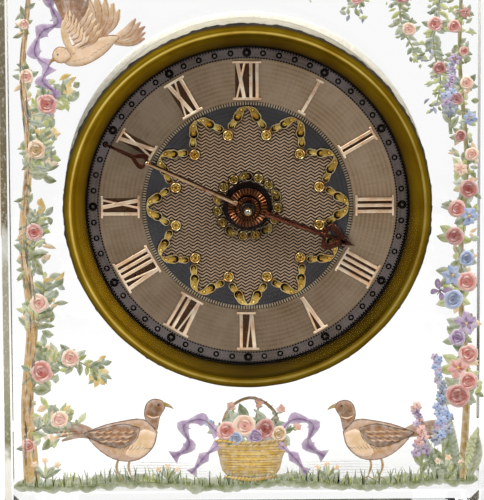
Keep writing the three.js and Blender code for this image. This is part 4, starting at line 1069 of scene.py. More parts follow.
def add_back():
    """The drum, its washer and notched ring, and the rear cover with three turned grooves."""
    outer, back, front = half_width("drum_case"), back_of("drum_case"), front_of("drum_case")
    bore, ledge, ledge_front, ledge_back, hole, floor = 32.0, 30.4, -6.75, -7.95, 28.5, -27.5
    drum = [(outer, back), (outer, front), (bore, front), (bore, ledge_front), (ledge, ledge_front),
            (ledge, ledge_back), (bore, ledge_back), (bore, floor), (hole, floor), (hole, back)]
    add_turned("turned_drum", rounded(drum, 0.25), case_brass, "case_brass", "drum_case")
    washer = oblong(SLEEVE_INNER, BEZEL_OUTER, back_of("rear_washer"), front_of("rear_washer"))
    add_turned("felt_washer", rounded(washer, 0.15), felt, "packing_felt", "rear_washer")
    steps, notch_half = 360, 2.6
    angles = np.degrees(np.arange(steps) * 2 * math.pi / steps)
    notch = np.abs((angles + 45) % 90 - 45) < notch_half
    rim = np.where(notch, 33.8, 34.4)[:, None]
    ring = circle(1.0, steps)
    back, front = back_of("retaining_ring"), front_of("retaining_ring")
    nut = Shape().add(framed(ring * SLEEVE_INNER, ring * rim, back, front, 0.0))
    nut.make("notched_ring", case_brass, slot="case_brass", replaces=["retaining_ring"])
    outer, face, front = half_width("rear_cover"), back_of("rear_cover"), front_of("rear_cover")
    bore, floor = 1.25, -30.2
    cover = [(bore, front), (outer, front), (outer, -30.1), (32.3, face)]
    for groove in (30.0, 20.0, 6.0):
        cover += [(groove + 0.4, face), (groove + 0.2, floor), (groove - 0.2, floor), (groove - 0.4, face)]
    cover.append((bore, face))
    add_turned("turned_cover", cover, case_brass, "case_brass", "rear_cover", 256)


PAPER = np.array(ink(252, 250, 244))
PAINT_FLOOR = 0.004
PAINT_EDGE = BLOCK_HALF - 2.5
OLIVE = np.array(ink(104, 112, 42))
SAGE = np.array(ink(126, 138, 102))
MOSS = np.array(ink(80, 96, 38))
LIME = np.array(ink(156, 162, 74))
OCHRE = np.array(ink(164, 128, 62))
UMBER = np.array(ink(108, 78, 46))
SEPIA = np.array(ink(66, 48, 36))
FAWN = np.array(ink(204, 170, 124))
RUSSET = np.array(ink(156, 106, 68))
PINK = np.array(ink(208, 144, 130))
ROSE_RED = np.array(ink(172, 84, 72))
PEACH = np.array(ink(224, 190, 158))
LILAC = np.array(ink(160, 132, 170))
PLUM = np.array(ink(112, 78, 120))
BLUE = np.array(ink(132, 152, 196))
SLATE = np.array(ink(106, 114, 136))
STRAW = np.array(ink(206, 170, 74))
LEAVES = (OLIVE, SAGE, MOSS)
PINK_ROSE = (PINK, ROSE_RED)
PEACH_ROSE = (PEACH, PINK)
RED_ROSE = (ROSE_RED, ROSE_RED * 0.6)
TEA_ROSE = (PEACH, OCHRE)
LILAC_ROSE = (LILAC, PLUM)
BLUE_ROSE = (BLUE, SLATE)
# A patch of paint from its rim inwards: shares of the outline, of the height and of the middle's colour.
PATCH_RINGS = ((1.0, 0.0, 0.0), (0.95, 0.8, 0.1), (0.7, 0.95, 0.45), (0.35, 1.0, 0.85), (0.04, 1.0, 1.0))
# Petals of a rose: the angle where each starts, and its distance and half width in radii of the rose.
ROSE_PETALS = ((0, 0.78, 0.17), (130, 0.74, 0.18), (245, 0.7, 0.17), (50, 0.45, 0.15), (200, 0.42, 0.16))


class Enamel:
    """Brush strokes gathered for one painted area of the glass."""

    def __init__(self, seed):
        self.shape = Shape()
        self.chance = random.Random(seed)

    def near(self, value, share=0.2):
        return value * (1 + self.chance.uniform(-share, share))

    def pick(self, colours):
        return colours[self.chance.randrange(len(colours))]

    def shade(self, colour, share=0.16):
        """A colour a little lighter or darker than the one given."""
        drift = self.chance.uniform(-share, share)
        return colour + (PAPER - colour) * drift if drift > 0 else colour * (1 + drift)

    def stroke(self, points, halves, first, last, rise, edge, steps, sides=4):
        """A stroke through points, from the first colour to the last, if given, and paler at its edges."""
        path = smooth_line(points, steps)
        t = np.linspace(0, 1, len(path))
        widths = np.interp(t, np.linspace(0, 1, len(halves)), halves)
        last = first if last is None else last
        along = first + (last - first) * t[:, None]
        turns = np.arange(sides + 1) * math.pi / sides
        pale = edge * np.cos(turns) ** 2
        tints = along[:, None, :] + (PAPER - along[:, None, :]) * pale[None, :, None]
        self.shape.add(strip(path, widths, PAINT_FLOOR, rise, sides), tints.reshape(-1, 3))

    def line(self, points, half, colour, rise, steps=12):
        self.stroke(points, (0.5 * half, half, half, 0.35 * half), colour, None, rise, 0.15, steps, 3)

    def dot(self, centre, radius, rise, colour, sides=8):
        self.shape.add(dome(centre, radius, PAINT_FLOOR, rise, sides, 2), colour)

    def patch(self, outline, centre, colour, middle, rise, edge, contour=None):
        """A filled area round a centre, shaded from its edge to its middle, with a fine contour if asked."""
        rim = smooth_line(list(outline) + [outline[0]], 3 * len(outline))[:-1]
        centre = np.asarray(centre, float)
        loops, tints = [], []
        for share, lift, mix in PATCH_RINGS:
            loops.append(flat(centre + (rim - centre) * share, PAINT_FLOOR + rise * lift))
            tone = colour + (middle - colour) * mix
            pale = edge if share > 0.9 else 0.0
            tints.append(np.tile(tone + (PAPER - tone) * pale, (len(rim), 1)))
        self.shape.add(capped(loops), np.concatenate(tints))
        if contour is not None:
            self.shape.add(strip(rim, 0.09, PAINT_FLOOR, rise + 0.03, 3, True), contour)

    def leaf(self, base, degrees, length, half, colour, rise=0.08, vein=True):
        ahead = heading(degrees)
        side = np.array((-ahead[1], ahead[0])) * self.chance.uniform(-0.12, 0.12) * length
        base = np.asarray(base, float)
        middle, tip = base + ahead * length * 0.5 + side, base + ahead * length
        tone = self.shade(colour)
        halves = (0.15 * half, 0.8 * half, half, 0.7 * half, 0.08 * half)
        self.stroke([base, middle, tip], halves, tone, self.shade(tone, 0.25), rise, 0.28, 7)
        if vein and length > 2.2:
            self.line([base, middle, base + ahead * length * 0.8], 0.07, tone * 0.55, rise + 0.03, 5)

    def blossom(self, centre, radius, colour, heart, petals=5, rise=0.09):
        centre = np.asarray(centre, float)
        start = self.chance.uniform(0, 360)
        for petal in range(petals):
            turn = start + 360 * petal / petals + self.chance.uniform(-10, 10)
            self.leaf(centre, turn, self.near(radius, 0.12), 0.5 * radius, colour, rise, False)
        self.dot(centre, 0.26 * radius, rise + 0.06, heart, 7)

    def rose(self, centre, radius, colour, deep, rise):
        centre = np.asarray(centre, float)
        rim = [centre + circle(self.near(radius, 0.1), 9, start=0.4)[k] for k in range(9)]
        self.patch(rim, centre, self.shade(colour), deep, rise, 0.35)
        pale = colour + (PAPER - colour) * 0.3
        for turn, reach, half in ROSE_PETALS:
            start = math.radians(turn + self.chance.uniform(-25, 25))
            arc = [centre + np.array((math.cos(start + bend), math.sin(start + bend))) * reach * radius
                   for bend in (0, 0.5, 1.0, 1.5)]
            wide = half * radius
            self.stroke(arc, (0.05, wide, wide, 0.05), self.shade(pale), colour, rise + 0.05, 0.1, 6, 3)
            fold = [point + (centre - point) * 0.3 for point in arc]
            self.line(fold, 0.05 * radius + 0.03, deep * 0.6, rise + 0.07, 6)
        self.dot(centre, 0.16 * radius, rise + 0.1, deep * 0.55, 6)

    def leafy_rose(self, centre, radius, colours, turns, drift=0.15, length=1.75, half=0.45, rise=0.1):
        """A rose over a star of leaves."""
        for turn in turns:
            self.leaf(centre, self.near(turn, drift), length * radius, half * radius, LEAVES[turn % 3])
        self.rose(centre, radius, *colours, rise)

    def sprig(self, points, spacing, length, colours):
        """A stem with leaves set to either side in turn."""
        path = smooth_line(points, 40)
        self.stroke(points, (0.3, 0.24, 0.12), UMBER, OLIVE, 0.06, 0.2, 24, 3)
        gaps = np.concatenate(([0], np.cumsum(np.linalg.norm(np.diff(path, axis=0), axis=1))))
        for count, place in enumerate(np.arange(spacing, gaps[-1] + 0.01, spacing)):
            point = np.array([np.interp(place, gaps, path[:, axis]) for axis in (0, 1)])
            index = min(int(np.searchsorted(gaps, place)), len(path) - 1)
            ahead = path[index] - path[index - 1]
            along = math.degrees(math.atan2(ahead[1], ahead[0]))
            side = 1 if count % 2 else -1
            size = self.near(length * (1 - 0.35 * place / gaps[-1]))
            colour = self.pick(colours)
            self.leaf(point, along + side * self.near(55), size, self.near(0.27) * size, colour)

    def cloud(self, centre, reach, count, size, colours):
        """Loose foliage: many small dabs round a place."""
        for _ in range(count):
            turn, far = self.chance.uniform(0, 2 * math.pi), math.sqrt(self.chance.random())
            place = (centre[0] + reach[0] * far * math.cos(turn), centre[1] + reach[1] * far * math.sin(turn))
            colour = self.pick(colours)
            facing, length = self.chance.uniform(0, 360), self.near(size, 0.4)
            self.leaf(place, facing, length, self.near(0.32 * size, 0.3), colour, 0.06, False)

    def ribbon(self, points, half, steps=30):
        """A lilac band that swells and narrows as it twists."""
        beats = 3 * (len(points) - 1) + 1
        halves = [half * (1.0, 0.55, 0.25)[k % 3] for k in range(beats)]
        self.stroke(points, halves, LILAC, PLUM, 0.1, 0.3, steps)
        self.line(points, 0.12 * half + 0.05, PLUM * 0.75, 0.14, steps)

    def make(self, name):
        self.shape.make(name, enamel, crease=60)


def smooth_line(points, steps):
    """A curve through points, cut into equal steps of its parameter."""
    knots = np.asarray(points, float)
    padded = np.vstack((2 * knots[0] - knots[1], knots, 2 * knots[-1] - knots[-2]))
    line = []
    for value in np.linspace(0, len(knots) - 1, steps + 1):
        index = min(int(value), len(knots) - 2)
        t = value - index
        a, b, c, d = padded[index:index + 4]
        square, cube = 2 * a - 5 * b + 4 * c - d, 3 * b - a - 3 * c + d
        line.append(0.5 * (2 * b + (c - a) * t + square * t * t + cube * t ** 3))
    return np.array(line)


def placed(points, place, size, flip=1, degrees=0.0):
    """Motif points scaled, mirrored if asked, turned and moved to their place."""
    moved = turned(np.asarray(points, float) * (size * flip, size), degrees)
    return moved + np.asarray(place, float)


def paint_bird(work, place, size, flip):
    """A brown ground bird, seen from the side and facing left."""
    def at(points):
        return placed(points, place, size, flip)

    for shift in range(6):
        tail = [(3.2, 0.6), (5.4, 0.9 + 0.2 * shift), (7.6 + 0.45 * shift, 0.2 + 0.5 * shift)]
        halves = (0.5 * size, 0.42 * size, 0.34 * size, 0.2)
        work.stroke(at(tail), halves, work.shade(RUSSET), work.shade(UMBER), 0.06, 0.25, 10)
    for foot in (-0.5, 0.9):
        leg = [(foot, -1.8), (foot + 0.3, -3.0), (foot - 0.1, -4.4)]
        work.line(at(leg), 0.16 * size, OCHRE * 0.75, 0.06)
        for toe in (-0.9, -0.2, 0.7):
            claw = [(foot - 0.1, -4.35), (foot - 0.1 + toe, -4.75)]
            work.line(at(claw), 0.09 * size, OCHRE * 0.6, 0.06, 4)
    body = [(-3.6, 1.2), (-3.1, -0.6), (-1.4, -2.1), (0.9, -2.2), (3.0, -1.1), (4.6, 0.9), (3.0, 1.9),
            (0.5, 2.5), (-2.0, 2.7)]
    work.patch(at(body), at([(0.2, 0.4)])[0], RUSSET, FAWN * 0.9, 0.09, 0.2, UMBER)
    breast = [(-3.5, 1.1), (-3.0, -0.6), (-1.5, -1.9), (0.2, -1.5), (-0.8, 0.4), (-2.0, 1.6)]
    work.patch(at(breast), at([(-1.8, -0.2)])[0], PEACH, FAWN, 0.12, 0.1)
    wing = [(-1.6, 1.7), (-1.0, 0.1), (1.0, -0.7), (3.6, 0.2), (5.0, 1.1), (2.6, 1.7), (0.4, 2.2)]
    work.patch(at(wing), at([(0.8, 0.9)])[0], UMBER, RUSSET, 0.14, 0.1, SEPIA)
    for row in range(3):
        for step in range(6 - row):
            x, y = -0.9 + 0.85 * step + 0.3 * row, 1.35 - 0.55 * row
            feather = [(x, y), (x + 0.5, y - 0.22), (x + 1.0, y - 0.1)]
            tones = work.shade(FAWN), work.shade(RUSSET)
            work.stroke(at(feather), (0.05, 0.2 * size, 0.06), *tones, 0.18, 0.0, 5, 3)
            edge = [(x, y - 0.22), (x + 0.6, y - 0.46), (x + 1.1, y - 0.26)]
            work.line(at(edge), 0.06 * size, SEPIA, 0.18, 5)
    neck = [(-3.6, 1.4), (-2.2, 2.8), (-2.3, 4.4), (-3.1, 5.1), (-4.2, 4.9), (-4.5, 4.1), (-3.9, 3.0)]
    work.patch(at(neck), at([(-3.3, 3.4)])[0], RUSSET, UMBER, 0.12, 0.15, UMBER)
    beak, collar = [(-4.4, 4.5), (-5.0, 4.3), (-5.5, 3.95)], [(-3.9, 3.1), (-3.1, 2.9), (-2.4, 3.2)]
    work.stroke(at(beak), (0.28 * size, 0.2 * size, 0.05), OCHRE, OCHRE * 0.6, 0.13, 0.0, 5, 3)
    work.stroke(at(collar), (0.1, 0.2 * size, 0.1), PEACH, PEACH, 0.16, 0.0, 5, 3)
    work.dot(at([(-3.75, 4.45)])[0], 0.2 * size, 0.2, SEPIA * 0.5)
    for shift in range(9):
        x = -2.9 + 0.42 * shift
        fleck = [(x, -0.3 - 0.1 * abs(shift - 5)), (x + 0.24, -0.75), (x + 0.55, -0.95)]
        work.line(at(fleck), 0.06 * size, UMBER, 0.15, 4)


def paint_dove(work, place, size, degrees):
    """A pale bird in flight with its wings raised, carrying a ribbon."""
    def at(points):
        return placed(points, place, size, 1, degrees)

    def feather(root, turn, length, half, first, last, rise):
        ahead = heading(turn)
        side = np.array((ahead[1], -ahead[0]))
        root = np.asarray(root, float)
        middle, tip = root + ahead * 0.55 * length + side * 0.09 * length, root + ahead * length
        halves = half * size * np.array((0.5, 0.95, 1.0, 0.85, 0.2))
        work.stroke(at([root, middle, tip]), halves, work.shade(first), work.shade(last), rise, 0.12, 9)
        edge = side * 0.8 * half
        work.line(at([root + edge, middle + edge, tip]), 0.07 * size, RUSSET * 0.7, rise + 0.02, 8)

    for step in range(6):
        feather((0.9 + 0.3 * step, 1.0), 84 - 11 * step, 7.4 - 0.55 * step, 0.62, RUSSET, FAWN, 0.06)
    for step in range(-2, 3):
        feather((4.0, -0.2 + 0.1 * step), 9 * step, 4.6 - 0.25 * abs(step), 0.5, FAWN, RUSSET, 0.08)
    body = [(-3.4, 0.4), (-2.8, -0.8), (-0.9, -1.6), (1.8, -1.4), (3.8, -0.6), (4.9, 0.0), (3.6, 0.7),
            (1.2, 1.2), (-1.0, 1.4), (-2.4, 1.4)]
    work.patch(at(body), at([(0.2, -0.5)])[0], FAWN * 0.85, PEACH, 0.11, 0.15, RUSSET)
    head = [(-2.2, 1.5), (-2.0, 0.2), (-3.2, -0.2), (-4.1, 0.3), (-4.3, 1.1), (-3.8, 1.8), (-3.0, 2.0)]
    work.patch(at(head), at([(-3.2, 0.9)])[0], FAWN * 0.85, PEACH, 0.13, 0.12, RUSSET)
    for step in range(6):
        root = (-0.9 + 0.1 * step, 4.0 - 0.6 * step)
        feather(root, 27 - 3 * step, 4.1 - 0.08 * step, 0.56, RUSSET, FAWN, 0.15)
    for step in range(7):
        root = (-0.9 + 0.07 * step, 4.6 - 0.1 * step)
        feather(root, 92 - 10 * step, 5.4 - 0.22 * abs(step - 2), 0.5, RUSSET, UMBER, 0.17)
    for row in range(2):
        for step in range(7):
            root = (-1.3 + 0.5 * row + 0.06 * step, 4.5 - 0.56 * step)
            feather(root, 48 - 5 * step, 1.9, 0.42, PEACH, FAWN, 0.2 - 0.015 * row)
    arm = [(-1.5, 0.4), (-1.75, 2.2), (-1.35, 4.0), (-0.7, 5.0)]
    work.stroke(at(arm), np.array((0.35, 0.5, 0.45, 0.15)) * size, FAWN, FAWN * 0.9, 0.23, 0.1, 16)
    beak = [(-4.2, 0.8), (-4.8, 0.65), (-5.3, 0.3)]
    work.stroke(at(beak), np.array((0.3, 0.2, 0.06)) * size, OCHRE, UMBER, 0.15, 0.0, 5, 3)
    work.dot(at([(-3.55, 1.15)])[0], 0.19 * size, 0.21, SEPIA * 0.5)
    for step in range(9):
        spot = np.array((-2.2 + 0.62 * step, -0.75 + 0.12 * abs(step - 3)))
        work.line(at([spot, spot + (0.3, -0.2), spot + (0.6, -0.05)]), 0.06 * size, RUSSET, 0.15, 5)


def paint_butterfly(work, place, size, degrees, colour, deep):
    def at(points, flip=1):
        return placed(points, place, size, flip, degrees)

    upper = [(0.2, 0.3), (0.9, 2.0), (2.3, 2.9), (3.1, 2.5), (2.7, 1.0), (1.4, 0.2)]
    lower = [(0.2, 0.0), (1.5, -0.2), (2.4, -1.0), (2.0, -2.2), (1.1, -2.0), (0.4, -0.9)]
    feeler = [(0.05, 0.7), (0.5, 1.7), (0.9, 2.1)]
    for flip in (-1, 1):
        work.patch(at(lower, flip), at([(1.2, -0.9)], flip)[0], deep, colour, 0.08, 0.15)
        work.patch(at(upper, flip), at([(1.5, 1.4)], flip)[0], deep, colour, 0.1, 0.15)
        for x, y in ((2.4, 2.4), (2.6, 1.6), (1.9, -1.4)):
            work.line(at([(0.2, 0.1), (x * 0.55, y * 0.6), (x, y)], flip), 0.06, deep * 0.6, 0.13)
        work.line(at(feeler, flip), 0.05, SEPIA, 0.12, 6)
        work.dot(at([(2.1, 1.9)], flip)[0], 0.26 * size, 0.15, STRAW, 7)
    body = at([(0, 0.8), (0, 0), (0, -1.5)])
    work.stroke(body, (0.2 * size, 0.26 * size, 0.08), SEPIA, UMBER, 0.16, 0.0, 6, 3)


def paint_basket(work, place, size):
    """A wicker basket heaped with flowers."""
    def at(points):
        return placed(points, place, size)

    handle = [(-4.6, 0.6), (-3.4, 5.4), (0, 7.4), (3.4, 5.4), (4.6, 0.6)]
    twists, weaves, studs = 17, 13, 15
    work.stroke(at(handle), (0.32, 0.3, 0.32), OCHRE, UMBER, 0.06, 0.1, 30, 3)
    for twist, point in enumerate(smooth_line(handle, twists)):
        start = point + (-0.35, -0.2 + 0.1 * (twist / twists))
        work.line(at([start, point + (0.35, 0.25)]), 0.1, SEPIA, 0.1, 4)
    side = [(-5.2, 0.9), (-4.7, -1.6), (-3.7, -4.2), (0, -4.7), (3.7, -4.2), (4.7, -1.6), (5.2, 0.9),
            (0, 0.4)]
    work.patch(at(side), at([(0, -1.8)])[0], OCHRE * 0.8, STRAW, 0.08, 0.1)
    for row in range(6):
        y = 0.2 - 0.8 * row
        wide = 4.95 - 0.25 * row - 0.03 * row * row
        for step in range(weaves):
            x = -wide + 2 * wide * (step + 0.5 * (row % 2)) / weaves
            cane = [(x, y - 0.2 * math.cos(x / 3)), (x + 0.4, y - 0.04), (x + 0.78, y - 0.2)]
            work.stroke(at(cane), (0.07, 0.26, 0.07), work.shade(STRAW), work.shade(OCHRE), 0.14, 0.05, 5, 3)
        work.line(at([(-wide, y - 0.5), (0, y - 0.74), (wide, y - 0.5)]), 0.09, UMBER, 0.12, 16)
    for edge, wide in ((1.0, 5.3), (-4.5, 3.8)):
        hoop = [(-wide, edge), (0, edge - 0.45), (wide, edge)]
        work.stroke(at(hoop), (0.2, 0.42, 0.42, 0.2), STRAW, OCHRE, 0.17, 0.05, 18, 3)
        for step in range(studs):
            x = -wide + 2 * wide * (step + 0.5) / studs
            y = edge - 0.42 * math.cos(x / wide * math.pi / 2)
            work.line(at([(x - 0.2, y - 0.3), (x + 0.2, y + 0.3)]), 0.08, UMBER, 0.2, 3)
    for x, y, radius, colours in (
        (-3.6, 2.4, 1.5, PINK_ROSE), (-0.9, 3.2, 1.8, PEACH_ROSE), (2.1, 2.7, 1.6, RED_ROSE),
        (4.2, 1.9, 1.25, TEA_ROSE), (0.7, 1.6, 1.2, LILAC_ROSE), (-2.2, 1.3, 1.05, BLUE_ROSE),
    ):
        centre = at([(x, y)])[0]
        work.leafy_rose(centre, radius * size, colours, (20, 95, 160, 215, 320), 0.2, 1.9, 0.5, 0.14)
    for x, y, turn in ((-5.0, 3.0, 150), (-2.4, 4.9, 110), (1.0, 5.2, 80), (3.6, 4.6, 50), (5.6, 2.6, 20)):
        ahead = heading(turn)
        tip = np.array((x, y)) + 1.4 * ahead
        work.sprig(at([(x, y) - ahead, (x, y), tip]), 0.7, 1.3, (SAGE, OLIVE, LIME))
        work.blossom(at([tip])[0], 0.7 * size, (BLUE, LILAC, PINK)[turn % 3], STRAW)


def paint_ground():
    """Turf and flowers along the foot, with two birds and a basket tied with ribbons."""
    work = Enamel(3)
    for step in range(120):
        x = -43.4 + 0.72 * step
        y = -54.2 + 0.5 * math.sin(0.21 * x) + work.chance.uniform(-0.4, 0.4)
        half = work.near(1.15, 0.3)
        turf = [(x - 1.7, y), (x, y + 0.15), (min(x + 1.7, PAINT_EDGE + 0.2), y)]
        work.stroke(turf, (0.3, half, half, 0.3), work.shade(OLIVE), work.shade(MOSS), 0.05, 0.35, 7)
    for _ in range(330):
        x = work.chance.uniform(-43.6, 43.6)
        y = -54.1 + 0.5 * math.sin(0.21 * x)
        tall = work.near(2.0, 0.6)
        lean = work.chance.uniform(-0.7, 0.7)
        colour = work.pick((OLIVE, MOSS, LIME, SAGE))
        blade = [(x, y), (x + 0.3 * lean, y + 0.6 * tall), (x + lean, y + tall)]
        work.stroke(blade, (0.16, 0.13, 0.03), work.shade(colour), work.shade(colour), 0.09, 0.1, 6, 3)
    for x, y, size in ((-39, -53, 1.0), (-15.5, -53.6, 0.8), (15.0, -53.4, 0.8), (38.5, -53, 1.0)):
        for turn in (35, 60, 85, 110, 140):
            colour = (OLIVE, LIME, SAGE)[turn % 3]
            work.leaf((x, y), work.near(turn, 0.1), work.near(3.4) * size, 0.55 * size, colour)
        for turn in (50, 92, 128):
            tip = np.array((x, y)) + on_dial(3.6 * size, 90 - turn)
            work.line([(x, y), tip], 0.09, OLIVE, 0.08, 5)
            work.blossom(tip, 0.75 * size, (PINK, BLUE, PEACH)[turn % 3], STRAW)
    mist = SLATE + (PAPER - SLATE) * 0.55
    for side in (-1, 1):
        for row in range(5):
            y = -52.3 + 0.55 * row
            haze = [(side * (7 + row), y), (side * 19, y + 0.2), (side * (31 - 2 * row), y)]
            work.stroke(haze, (0.05, 0.14, 0.05), mist, None, 0.04, 0.3, 14, 3)
    paint_bird(work, (-23.4, -45.9), 1.64, -1)
    paint_bird(work, (23.8, -46.1), 1.58, 1)
    paint_basket(work, (0.4, -47.0), 1.3)
    upper = np.array([(5.6, -44.5), (8.8, -41.6), (12.4, -42.8), (11.4, -46.6), (14.6, -49.0)])
    lower = np.array([(5.8, -46.5), (8.6, -49.0), (11.0, -52.2)])
    for side in (-1, 1):
        work.ribbon(upper * (side, 1), 1.5)
        work.ribbon(lower * (side, 1), 1.2, 18)
    work.make("enamel_ground")


def paint_climber():
    """Roses climbing a cane up the left edge."""
    work = Enamel(5)
    cane = [(-41.6, -53.8), (-42.3, -38), (-41.2, -22), (-42.6, -6), (-41.4, 10), (-42.4, 26), (-41.0, 42),
            (-42.2, 57)]
    girth = (1.6, 1.15, 1.05, 0.8, 0.65, 0.5, 0.35)
    work.stroke(cane, girth, OCHRE * 1.1, FAWN, 0.07, 0.15, 90)
    cuts = 300
    line = smooth_line(cane, cuts)
    for count in range(150):
        start = work.chance.randrange(0, cuts - 20)
        reach = work.chance.randrange(6, 16)
        width = np.interp(start / cuts, np.linspace(0, 1, len(girth)), girth)
        shift = np.array((width * work.chance.uniform(-0.75, 0.85), 0.0))
        bark = line[start:start + reach:3] + shift
        tone = (UMBER, SEPIA, OCHRE * 0.8, FAWN, UMBER)[count % 5]
        halves = (0.04, work.near(0.2, 0.5) * width, 0.03)
        work.stroke(bark, halves, work.shade(tone), work.shade(tone), 0.1 + 0.0004 * count, 0.1, 8, 3)
    shoots = [
        [(-41.8, -36), (-38.6, -31.0), (-34.0, -29.6), (-29.6, -31.6)],
        [(-41.4, -24), (-39.6, -20.0), (-38.6, -15.0)],
        [(-42.0, -11), (-40.4, -7.0), (-39.9, -2.0)],
        [(-41.8, 6), (-39.6, 9.5), (-38.6, 14.0)],
        [(-41.9, 16), (-38.4, 19.5), (-34.4, 22.0)],
        [(-41.2, 40), (-38.0, 45.0), (-33.5, 47.5)],
        [(-41.6, -44), (-38.0, -42.0), (-34.6, -41.6)],
    ]
    for shoot in shoots:
        work.cloud(shoot[1], (2.8, 4.4), 44, 2.0, (SAGE, LIME, OLIVE, FAWN))
        work.cloud(shoot[-1], (2.4, 2.6), 22, 1.9, (SAGE, LIME, OLIVE, STRAW))
        work.sprig(shoot, 0.75, 3.2, (OLIVE, SAGE, LIME, MOSS))
    for x, y, radius, colours in (
        (-39.6, -32.0, 2.3, PINK_ROSE), (-34.0, -29.4, 1.9, PEACH_ROSE), (-39.8, -18.6, 1.9, PEACH_ROSE),
        (-40.6, -4.8, 1.75, PINK_ROSE), (-40.0, 11.0, 1.9, TEA_ROSE), (-37.8, 19.8, 2.1, PINK_ROSE),
        (-41.7, 25.0, 1.5, PEACH_ROSE), (-38.4, 45.0, 1.7, PINK_ROSE), (-42.0, 35.0, 1.1, PEACH_ROSE),
        (-36.2, -41.4, 1.8, PEACH_ROSE), (-42.2, -46.5, 1.4, PINK_ROSE),
    ):
        work.leafy_rose((x, y), radius, colours, (25, 110, 190, 285))
    for _ in range(70):
        y = work.chance.uniform(-50, 56)
        x = -42.0 + work.chance.uniform(-0.5, 0.6)
        facing, length, half = work.chance.uniform(-60, 240), work.near(1.9, 0.3), work.near(0.5)
        work.leaf((x, y), facing, length, half, work.pick((OLIVE, SAGE, LIME, FAWN)))
    work.make("enamel_climber")


def paint_spires():
    """Tall flower spires with broad leaves up the right edge."""
    work = Enamel(8)
    for turn, length, half, x in (
        (62, 13, 1.5, 38.5), (100, 15, 1.7, 40.5), (124, 11, 1.5, 39.5), (142, 9, 1.3, 40),
        (78, 9.5, 1.2, 42.0), (112, 8, 1.2, 36.5),
    ):
        base = np.array((x, -53.8))
        ahead = heading(turn)
        side = np.array((-ahead[1], ahead[0]))
        reach = min(length, (PAINT_EDGE - x) / max(ahead[0], 1e-3)) if turn < 90 else length
        work.leaf(base, turn, reach, half, (OLIVE, SAGE, LIME)[turn % 3], 0.07)
        for step in range(3, int(reach)):
            for flip in (-1, 1):
                start = base + ahead * step * 0.9
                rib = [start, start + ahead * 0.7 + side * flip * half * 0.6]
                work.line(rib, 0.05, MOSS * 0.8, 0.12, 3)
    tall = [(41.0, -53.5), (41.8, -34), (40.4, -14), (41.6, 8), (40.2, 30), (41.4, 57)]
    work.stroke(tall, (0.8, 0.62, 0.5, 0.4, 0.28), OCHRE * 0.85, OLIVE, 0.07, 0.2, 90)
    work.line([np.array(point) + (0.24, 0) for point in tall], 0.13, UMBER, 0.1, 90)
    cuts = 400
    path = smooth_line(tall, cuts)
    tones = (PINK_ROSE, PEACH_ROSE, LILAC_ROSE, RED_ROSE, BLUE_ROSE)
    for flower in range(27):
        t = 0.17 + 0.8 * (flower + work.chance.uniform(-0.4, 0.4)) / 26.5
        point = path[int(t * cuts)]
        side = 1 if flower % 2 else -1
        radius = work.near(2.3 - 1.3 * t, 0.28)
        centre = np.array((min(point[0] + side * (0.55 * radius + 0.3), PAINT_EDGE - radius), point[1]))
        colour, deep = work.pick(tones)
        for turn in (-20, 55, 140, 215):
            room = PAINT_EDGE - 0.1 - centre[0] if abs(turn) < 80 else 9
            facing, length = work.near(turn, 0.2), min(1.7 * radius, room)
            work.leaf(centre, facing, length, 0.5 * radius, (OLIVE, SAGE, LIME, MOSS)[flower % 4])
        work.cloud(point, (1.9, 1.6), 9, 1.7, (SAGE, OLIVE, LIME, FAWN))
        if flower % 3 == 2:
            work.blossom(centre, radius, colour, STRAW, 6, 0.13)
            work.blossom(centre, 0.55 * radius, deep, STRAW, 5, 0.17)
        else:
            work.rose(centre, radius * 0.95, colour, deep, 0.13)
    cuts, foot = 160, 0.34
    for points, count, spread, colours in (
        ([(37.4, -53.5), (37.2, -42), (36.0, -29.0)], 34, 2.6, (BLUE, LILAC, SLATE)),
        ([(33.2, -53.5), (33.0, -46), (32.0, -38.5)], 24, 2.2, (LILAC, PLUM, PINK)),
        ([(38.6, 13.5), (38.2, 20), (38.8, 27.5)], 20, 1.6, (BLUE, SLATE, LILAC)),
    ):
        work.stroke(points, (0.36, 0.3, 0.14), OLIVE, OLIVE, 0.07, 0.2, 40, 3)
        path = smooth_line(points, cuts)
        for flower in range(count):
            t = foot + 0.66 * flower / count
            narrow = 1 - 0.7 * (t - foot) / 0.66
            drift = work.chance.uniform(-0.5, 0.5) * spread * narrow
            centre = path[int(t * cuts)] + np.array((drift, 0.0))
            colour = work.pick(colours)
            radius, rise = work.near(0.6 + 0.55 * narrow, 0.2), 0.09 + 0.03 * (flower % 3)
            work.blossom(centre, radius, work.shade(colour), colour * 0.4, 5, rise)
        for place, turn in ((0.08, 60), (0.16, 120), (0.24, 60), (0.32, 120)):
            work.leaf(path[int(place * cuts)], work.near(turn, 0.1), 3.0, 0.7, OLIVE)
    work.make("enamel_spires")


